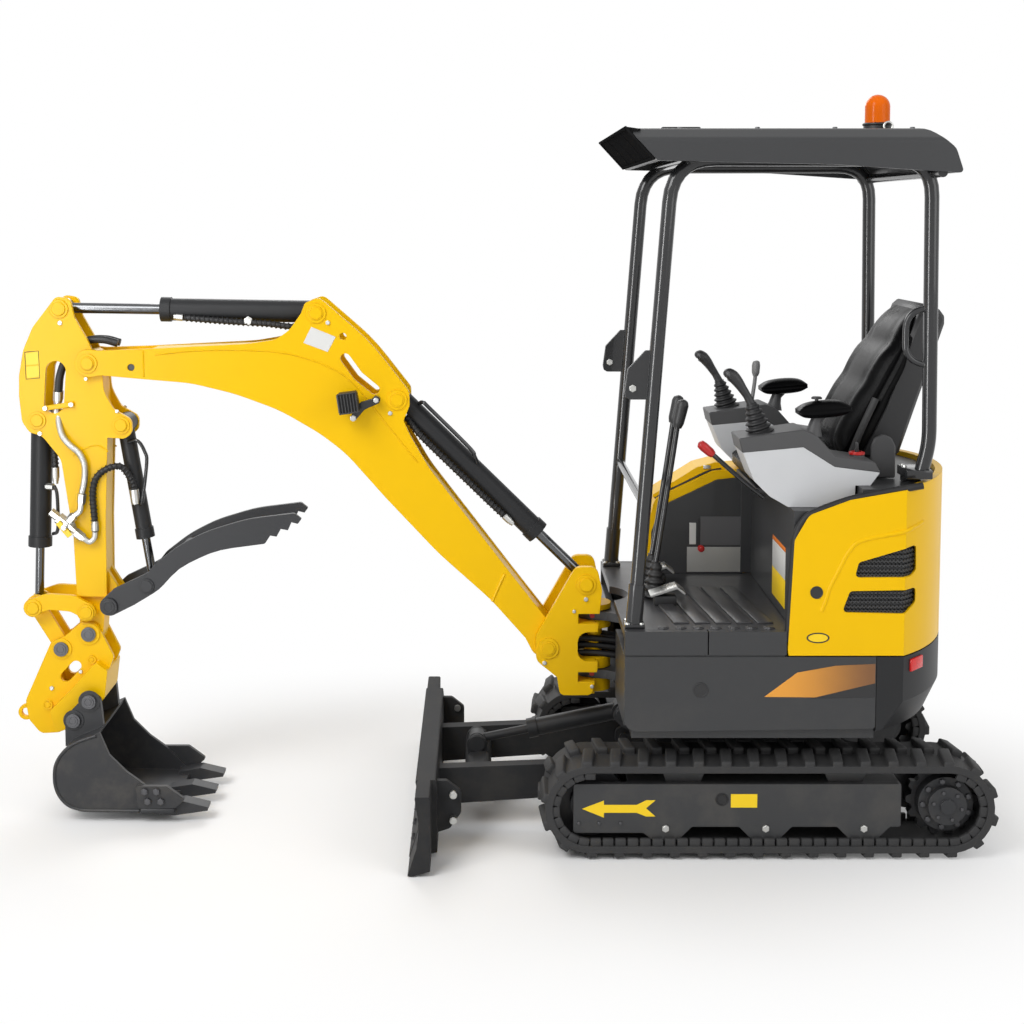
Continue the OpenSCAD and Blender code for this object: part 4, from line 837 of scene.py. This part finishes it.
marks = ([(2454, 1576), (2410, 1580), (2408, 1538), (2452, 1534)],
         [(2452, 1530), (2408, 1534), (2407, 1494), (2450, 1490)])
join([plate(mark, ARM_FACE - 0.2, ARM_FACE + 0.8, 0.2) for mark in marks])
settle("blank_arm_plates", "arm", MARK)
rim = [(2455, 1579), (2409, 1583), (2407, 1491), (2453, 1487), (2455, 1579)]
tube([(x, ARM_FACE + 0.2, z) for x, z in rim], 1.2, 1, 1)
settle("arm_plate_edge", "arm", PLASTIC)
seam = [(2300, 1225), (2262, 1250), (2215, 1262), (2180, 1240)]
join([tube([(x, side * ARM_FACE, z) for x, z in seam], 2.6, 2) for side in (1, -1)])
settle("arm_weld_beads", "arm", YELLOW)

# Swing post: hose bundle through the opening, red grease caps
for i, (y, z) in enumerate(((-34, 590), (-12, 596), (12, 592), (34, 588), (-24, 560), (0, 556), (24, 562),
                            (-36, 540), (36, 538))):
    tube([(424, y * 0.9, z - 14), (470, y, z - 6), (527, y, z), (566, y, z + 1), (600, y, z - 2)], 11, 2)
    hose = settle(f"swing_hose_{i}", None, HOSE)
    place(470, 0, 566)
    place(580, 0, 566)
    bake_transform(hose)
join([boss(side, 535, 56, z, 9, 4, ((2, 1.5),)) for side in (1, -1) for z in (674, 472)])
settle("grease_caps", "house", RED)


# Seat: crowned cushions on a plastic base
def cushion(centre, lift, half, crown, shape, cuts=14, square=6):
    """A crowned cushion of half sizes in length, width and depth, set along lift in the XZ plane."""
    start()
    bpy.ops.mesh.primitive_cube_add(size=2)
    bpy.ops.object.mode_set(mode="EDIT")
    bpy.ops.mesh.select_all(action="SELECT")
    bpy.ops.mesh.subdivide(number_cuts=cuts)
    bpy.ops.object.mode_set(mode="OBJECT")
    o = bpy.context.active_object
    long = Vector((lift[0], 0, lift[1])).normalized()
    out = Vector((long.z, 0, -long.x))
    for v in o.data.vertices:
        d, w, s = v.co
        wide, deep = shape(s, w)
        rim = max(abs(s), abs(w))
        soft = (1 - abs(s) ** square) ** 0.5 * (1 - abs(w) ** square) ** 0.5
        bulge = (crown if d > 0 else 0) * (1 - s * s) * (1 - w * w)
        depth = d * half[2] * deep * (0.30 + 0.70 * soft) + bulge
        pull = 1 - 0.05 * (1 - abs(d)) * (rim > 0.99)
        across = Vector((0, w * half[1] * wide * pull, 0))
        v.co = place(*centre) + (long * (s * half[0]) + across + out * depth) / 1000
    smooth = o.modifiers.new("smooth", "SUBSURF")
    smooth.levels = smooth.render_levels = 1
    bpy.ops.object.modifier_apply(modifier="smooth")
    return o


def groove(value, spot, width, depth):
    return 1 - depth * math.exp(-((value - spot) / width) ** 2)


def back_shape(s, w):
    """The back's width and depth as shares of the full sizes, at a height s and a place w across."""
    narrow = 1 - 0.30 * max(0, (s - 0.35) / 0.65) ** 1.5
    sides = 1 + 0.25 * math.exp(-((abs(w) - 0.82) / 0.16) ** 2) * (s < 0.5)
    seams = groove(s, 0.48, 0.05, 0.30) * groove(s, -0.05, 0.04, 0.16) * groove(s, -0.52, 0.04, 0.16)
    return narrow, (0.92 - 0.22 * s) * sides * seams * groove(abs(w), 0.58, 0.05, 0.20)


def pan_shape(s, w):
    sides = 1 + 0.22 * math.exp(-((abs(w) - 0.84) / 0.16) ** 2)
    seams = groove(s, 0.1, 0.05, 0.16) * groove(s, -0.4, 0.05, 0.16) * groove(abs(w), 0.6, 0.05, 0.2)
    return 1 - 0.06 * max(0, -s), sides * seams


def pad_shape(s, w):
    return 1 - 0.12 * s * s, 1


seat_back = cushion((-412, 0, 1482), (-0.46, 0.888), (272, 205, 54), 10, back_shape)
settle("seat_back_cushion", "house", VINYL, 60)
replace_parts(seat_back, "seat")
seat_pan = cushion((-128, 0, 1186), (-1, 0.02), (152, 212, 46), 8, pan_shape)
settle("seat_pan_cushion", "house", VINYL, 60)
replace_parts(seat_pan, "seat")
shell = [(-330, 1236), (-466, 1244), (-614, 1694), (-604, 1722), (-566, 1750), (-536, 1742), (-500, 1650),
         (-420, 1420)]
join([block((-272, -190, 1116), (8, 190, 1142), 8), block((-438, -175, 1185), (-286, 175, 1252), 14),
      plate(shell, -186, 186, 12)])
settle("seat_base", "house", PLASTIC)
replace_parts(bpy.data.objects["seat_base"], "seat")
for side, name in SIDES:
    tube([(-300, side * 214, 1250), (-330, side * 216, 1330), (-380, side * 212, 1440)], 12, 3)
    settle(f"seat_back_bracket_{name}", "house", PLASTIC)
    ear = [(-354, 1186), (-354, 1290), (-364, 1316), (-392, 1330), (-420, 1318), (-434, 1290), (-434, 1186)]
    plate(ear, side * 262 - 7, side * 262 + 7, 4)
    settle(f"seat_hinge_plate_{name}", "house", CONSOLE_DARK)
    pad = cushion((-182, side * STICK_Y, 1418), (-1, 0.08), (84, 43, 25), 6, pad_shape, 10, 3)
    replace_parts(settle(f"armrest_pad_{name}", "house", VINYL, 60), "controls")
    neck = [(-150, 1336, 30), (-154, 1360, 22), (-160, 1384, 18), (-170, 1404, 24)]
    tube([(x, side * STICK_Y, z) for x, z, r in neck], 1, 4, 4, [r for x, z, r in neck])
    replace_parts(settle(f"armrest_neck_{name}", "house", CONSOLE_DARK, 80), "controls")
join([turned(place(-160, STICK_Y, 1440), UP, 6, 14, ((1, 1),)),
      turned(place(-160, STICK_Y, 1453), UP, 17, 5, ((3, 2),))])
settle("armrest_knob", "house", PLASTIC)


# Control sticks: bellows and bent grips; consoles with their dark upper halves
def bellows(foot, top, rings, folds, width, depth):
    """A folded rubber sleeve from a foot to a top; width(t) is its radius at the share t of the way."""
    foot, top = Vector(foot), Vector(top)
    line = [foot + (top - foot) * (i / rings) for i in range(rings + 1)]
    shares = [i / rings for i in range(rings + 1)]
    return tube(line, 1, 6, 1, [width(t) * (1 + depth * math.sin(t * folds * 2 * math.pi)) for t in shares])


for side, name in SIDES:
    foot, top = (15, side * STICK_Y, 1324), (50, side * STICK_Y, 1440)
    bellows(foot, top, 46, 7, lambda t: 49 - 31 * t ** 0.9, 0.13)
    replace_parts(settle(f"stick_bellows_{name}", "house", HOSE, 80), "controls")
    grip = [(46, 1428, 16), (52, 1442, 14), (64, 1464, 13), (80, 1488, 15), (94, 1508, 18), (108, 1524, 20),
            (122, 1532, 20), (132, 1530, 15), (137, 1527, 5)]
    tube([(x, side * STICK_Y, z) for x, z, r in grip], 1, 6, 5, [r for x, z, r in grip])
    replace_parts(settle(f"stick_grip_{name}", "house", PLASTIC, 80), "controls")
    upper = [(99, 1335), (88, 1288), (-105, 1306), (-205, 1243), (-351, 1225), (-333, 1259), (-207, 1278),
             (-147, 1345), (-105, 1364)]
    plate(upper, side * 320 - 82, side * 320 + 82, 3)
    settle(f"console_top_{name}", "house", CONSOLE_DARK)

# Safety lever, blade lever, key switch, travel lever boots and foot pedals
tube([(-2, 300, 1128), (60, 306, 1176), (120, 310, 1228), (170, 308, 1272)], 8)
settle("safety_lever_rod", "house", BLACK)
tube([(166, 308, 1268), (176, 308, 1277), (196, 308, 1294), (208, 308, 1304), (213, 308, 1308)], 1, 5, 4,
     [11, 15, 16, 14, 4])
settle("safety_lever_knob", "house", RED, 80)
tube([(-60, -300, 1330), (-66, -300, 1380), (-74, -300, 1440), (-76, -300, 1468)], 7)
settle("blade_lever_rod", "house", LEVER_GREY)
knob = [(-76, 1460), (-77, 1474), (-78, 1498), (-79, 1512), (-79, 1516)]
tube([(x, -300, z) for x, z in knob], 1, 5, 4, [9, 14, 15, 12, 4])
settle("blade_lever_knob", "house", LEVER_GREY, 80)
turned(place(-292, STICK_Y, 1256), UP, 24, 16, ((3, 3), (2, 4)))
settle("key_switch", "house", CONSOLE_DARK)
turned(place(-292, STICK_Y, 1274), UP, 25, 7, ((5, 2), (4, -3)))
settle("key_ring", "house", RED)
join([turned(place(-292, STICK_Y, 1276), UP, 7, 14, ((2, 2),)),
      block((-295, 318, 1288), (-289, 342, 1312), 2.5)])
settle("start_key", "house", PLASTIC)
for side, name in SIDES:
    bellows((325, side * LEVER_Y, 742), (318, side * LEVER_Y, 862), 32, 5, lambda t: 40 - 24 * t, 0.14)
    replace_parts(settle(f"travel_lever_boot_{name}", "house", HOSE, 80), "controls")
    rod = [(322, 845), (312, 905), (275, 1155), (250, 1330)]
    tube([(x, side * LEVER_Y, z) for x, z in rod], 9, 3)
    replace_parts(settle(f"travel_lever_rod_{name}", "house", BLACK, 60), "controls")
    grip = [(251, 1322, 14), (247, 1340, 19), (240, 1370, 20), (234, 1398, 21), (231, 1412, 16),
            (230, 1418, 5)]
    tube([(x, side * LEVER_Y, z) for x, z, r in grip], 1, 5, 4, [r for x, z, r in grip])
    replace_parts(settle(f"travel_lever_grip_{name}", "house", PLASTIC, 80), "controls")
    join([plate([(232, 784), (262, 806), (352, 776), (348, 768), (262, 796), (236, 776)],
                side * PEDAL_Y - 38, side * PEDAL_Y + 38, 1.5)]
         + [block((262 + i * 22, side * PEDAL_Y - 34, 797 - i * 7.6),
                  (272 + i * 22, side * PEDAL_Y + 34, 804 - i * 7.6), 1.5) for i in range(4)])
    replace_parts(settle(f"foot_pedal_{name}", "house", ZINC), "controls")
    block((262, side * PEDAL_Y - 24, FLOOR_Z), (336, side * PEDAL_Y + 24, 770), 4)
    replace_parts(settle(f"foot_pedal_base_{name}", "house", PLASTIC), "controls")

# Floor mat: slanted slats across the floor, with small studs along the edge
slat = block((SLEW_X - 26, -238, -2), (SLEW_X + 26, 238, 6), 3)
lean = Matrix.Rotation(math.radians(5.8), 4, "Z")
slats = copies(slat, [Matrix.Translation(place(x, 163, FLOOR_Z)) @ lean for x in (298, 231, 164, 97, 30)])
stud = turned(Vector((0, 0, -0.002)), UP, 20, 6, ((4, 2),), 6)
studs = copies(stud, [Matrix.Translation(place(x, 448, FLOOR_Z)) for x in (340, 284, 228, 172, 116, 60, 4)])
join([slats, studs])
settle("floor_mat_ribs", "house", MAT)

# Covers and cab walls: edge moulding, plugs, crease, blank plates, stripe, reflector, catches, panels
edge = [(-50, 700), (-56, 820), (-64, 960), (-70, 1030), (-92, 1082), (-130, 1112), (-237, 1152),
        (-350, 1176), (-466, 1196)]
tube([(x + 2, 478, z + 2) for x, z in edge], 11, 3)
settle("cover_edge_moulding", "house", HOSE)
join([boss(side, x, COVER_FACE, z, r, 2, ((4, -1),))
      for side, x, z, r in ((1, 224, 550, 24), (-1, 224, 550, 24), (1, -135, 862, 20))])
settle("round_plugs", "house", PLASTIC)
crease = [(-152, 801), (-166, 840), (-178, 880), (-205, 935), (-231, 986), (-261, 1020), (-306, 1034),
          (-352, 1043), (-411, 1056), (-450, 1065), (-482, 1073)]
tube([(x, min(COVER_FACE, math.sqrt(TAIL_R ** 2 - x * x)) - 4, z) for x, z in crease], 7.5, 4)
settle("cover_crease", "house", YELLOW, 60)
oval = [(-142 + 36 * math.cos(i * math.pi / 16), 717 + 17 * math.sin(i * math.pi / 16)) for i in range(32)]
plate(oval, COVER_FACE - 0.2, COVER_FACE + 0.8, 0.2)
settle("blank_oval_rim", "house", PLASTIC)
inner = [(-142 + (x + 142) * 0.86, 717 + (z - 717) * 0.76) for x, z in oval]
plate(inner, COVER_FACE, COVER_FACE + 1.2, 0.2)
settle("blank_oval_plate", "house", MARK)
band = [(24, 528), (-79, 606), (-200, 628), (-324, 634), (-324, 552), (-173, 526)]
plate(band, COVER_FACE - 0.2, COVER_FACE + 0.9, 0.2)
settle("plain_stripe", "house", STRIPE)
plate([(-122, 523), (-324, 572), (-324, 527)], COVER_FACE + 0.2, COVER_FACE + 1.3, 0.2)
settle("stripe_black_tail", "house", PLASTIC)
block((-38, 636, 602), (38, 646, 642), 3)
axis = Matrix.Translation(place(0, 0, 0))
round_tail = axis @ Matrix.Rotation(math.radians(46.6), 4, "Z") @ axis.inverted()
bpy.context.active_object.data.transform(round_tail)
settle("rear_reflector", "house", REFLECTOR)
plate([(-28, 742), (-70, 742), (-70, 1128), (-28, 1150)], -290, -284, 0.5)
settle("panel_corner_strip", "house", DARK)
tube([(280, -321, 1007), (238, -321, 1033), (160, -321, 1072), (90, -321, 1106), (40, -321, 1117)], 5, 2)
settle("lid_joint", "house", HOSE)
join([block((x - 13, -330, z - 7), (x + 13, -317, z + 7), 2.5) for x, z in ((236, 1046), (92, 1124))])
settle("lid_catches", "house", ZINC)
for name, finish, (front, top), (rear, low), thick, bevel in (
        ("blank_side_panel", GREY_PLATE, (118, 948), (-30, 842), 1.6, 0.3),
        ("kick_plate", ZINC, (166, 836), (-30, 744), 2.0, 0.4),
        ("blank_lever_label", WHITE, (158, 925), (134, 846), 1.6, 0.3),
        ("panel_lever_slot", PLASTIC, (130, 942), (118, 830), 1.8, 0.4)):
    plate([(front, top), (rear, top), (rear, low), (front, low)], PANEL_Y, PANEL_Y + thick, bevel)
    settle(name, "house", finish)
turned(place(116, -288, 832), LEFT, 12, 16, ((3, 3), (3, 2)))
settle("panel_knob", "house", RED)
for name, finish, low, high in (("blank_white_plate", WHITE, 865, 955),
                                ("orange_plate_strip", ORANGE, 956, 970),
                                ("blank_yellow_plate", MARK, 770, 864)):
    block((RISER_X, 128, low), (RISER_X + 2, 341, high), 0.5)
    settle(name, "house", finish)


# Canopy: bent tubes with smooth corners, feet, gusset plates, handle, the roof's front, beacon rings
def rounded(points, reach, steps=7):
    """A line whose inner corners are rounded, each from reach before it to reach after it."""
    line = [Vector(points[0])]
    for a, b, c, d in zip(points, points[1:], points[2:], reach):
        a, b, c = Vector(a), Vector(b), Vector(c)
        p, q = b + (a - b).normalized() * d, b + (c - b).normalized() * d
        shares = [i / steps for i in range(steps + 1)]
        line += [p * (1 - k) ** 2 + b * (2 * k * (1 - k)) + q * k ** 2 for k in shares]
    return line + [Vector(points[-1])]


hoops, feet = [], []
for side in (1, -1):
    hoop = [(430, CANOPY_Y, 742), (320.6, CANOPY_Y, 2214), (-496, 390, 2214), (-506, 390, 1318),
            (-482, 390, 1222)]
    hoops.append(tube(rounded([(x, side * y, z) for x, y, z in hoop], (135, 115, 46)), 23, 5, 1))
    feet += [block((398, side * CANOPY_Y - 34, 738), (462, side * CANOPY_Y + 34, 751), 2),
             block((-512, side * 360 - 60, 1207), (-430, side * 360 + 60, 1236), 3),
             block((-500, side * 316 - 14, 1185), (-440, side * 316 + 14, 1210), 2)]
    feet.append(tube([(430, side * CANOPY_Y, 746), (420.4, side * CANOPY_Y, 876)], 27, 5, 1))
    ear = [(374, 1618), (402, 1618), (456, 1559), (466, 1487), (462, 1470), (450, 1463), (378, 1463)]
    feet.append(plate(ear, side * CANOPY_Y - 6, side * CANOPY_Y + 6, 1.5))
hoops.append(tube(rounded([(-505, 390, 1752), (-424, 390, 1732), (-424, 390, 1584), (-505, 390, 1564)],
                          (52, 52)), 10, 4, 1))
for x, y, z, r in ((400, CANOPY_Y, 1128, 14), (-496, 505, 2170, 15), (268, 505, 2214, 17)):
    hoops.append(tube([(x, -y, z), (x, 0, z), (x, y, z)], r, 4, 2))
join(hoops)
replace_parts(settle("canopy_tubes", "house", BLACK, 60), "canopy_frame")
join(feet)
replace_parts(settle("canopy_feet", "house", BLACK), "canopy_frame")
ripple = [1 + 0.3 * math.sin(i * 1.9) for i in range(60)]
seam = ((384, 1470), (379, 1540), (374, 1612))
join([tube([(x, side * (CANOPY_Y + dy), z) for x, z in seam], 4.5, 2, 30, ripple)
      for side in (1, -1) for dy in (-8, 8)])
settle("gusset_weld_beads", "house", BLACK)
spots = []
for side in (1, -1):
    spots += [(x, side * (CANOPY_Y + dy), 751, UP, 0.9) for x in (408, 452) for dy in (-26, 26)]
    spots += [(441, side * 436, 1499, (0, side, 0), 1.5), (441, side * 424, 1499, (0, -side, 0), 1.5)]
    spots += [(x, side * y, 1236, UP, 0.9) for x in (-500, -442) for y in (318, 345)]
bolts("canopy_bolts", "house", ZINC, spots)


def front_spot(along, out):
    """A point on the roof's slanted front, in its height from the low edge and its distance outward."""
    return 382 + 0.680 * along + 0.733 * out, 2210 + 0.733 * along - 0.680 * out


def front_strip(low, high, out, y0, y1, bevel):
    return plate([front_spot(low, -1), front_spot(high, -1), front_spot(high, out), front_spot(low, out)],
                 y0, y1, bevel)


# The roof's front panel and rim are painted near black, as shade on the front
front_strip(8, 134, 0.6, -500, 500, 0.2)
settle("roof_front_panel", "house", ROOF_FRONT_SHADE)
join([front_strip(2, 12, 7, -516, 516, 2), front_strip(128, 138, 7, -512, 512, 2),
      front_strip(10, 130, 7, 500, 512, 2), front_strip(10, 130, 7, -512, -500, 2)]
     + [front_strip(14, 126, 4, y - 5, y + 5, 1.5) for y in (-250, 0, 250)]
     + [plate([(426, 2303), (475, 2310), (470, 2304), (454, 2286), (436, 2294)], -490, 490, 1)])
settle("roof_front_rim", "house", ROOF_FRONT_SHADE)
bolts("roof_bolts", "house", BLACK_STEEL, [(x, side * CANOPY_Y, ROOF_TOP, UP, 1.0) for side in (1, -1)
                                           for x in (300, 60, -180, -420)])
for name, z, r, wire in (("low", 2314, 44, 3), ("high", 2333, 43, 5)):
    start()
    bpy.ops.mesh.primitive_torus_add(location=place(-370, 200, z), major_radius=r / 1000,
                                     minor_radius=wire / 1000, major_segments=40, minor_segments=8)
    settle(f"beacon_ring_{name}", "house", PLASTIC, 80)
start()
bpy.ops.mesh.primitive_torus_add(location=place(-392, 250, 2324), rotation=(math.pi / 2, 0, 0),
                                 major_radius=0.014, minor_radius=0.004, major_segments=28,
                                 minor_segments=8)
settle("beacon_clip_ring", "house", ZINC, 80)

# Blade: pins on the end pieces, cutting edge bolts
join([boss(side, 1004, 405, z, 12, 52, ((2.5, 3),), 20) for side in (1, -1) for z in (112, 196)])
settle("blade_end_pins", "blade", ZINC)
bolts("cutting_edge_bolts", "blade", BLACK_STEEL, [(1130.5, y, 46, (0.95, 0, 0.31), 1.5)
                                                   for y in range(-420, 421, 120)])
bpy.data.objects.remove(bolt_model)
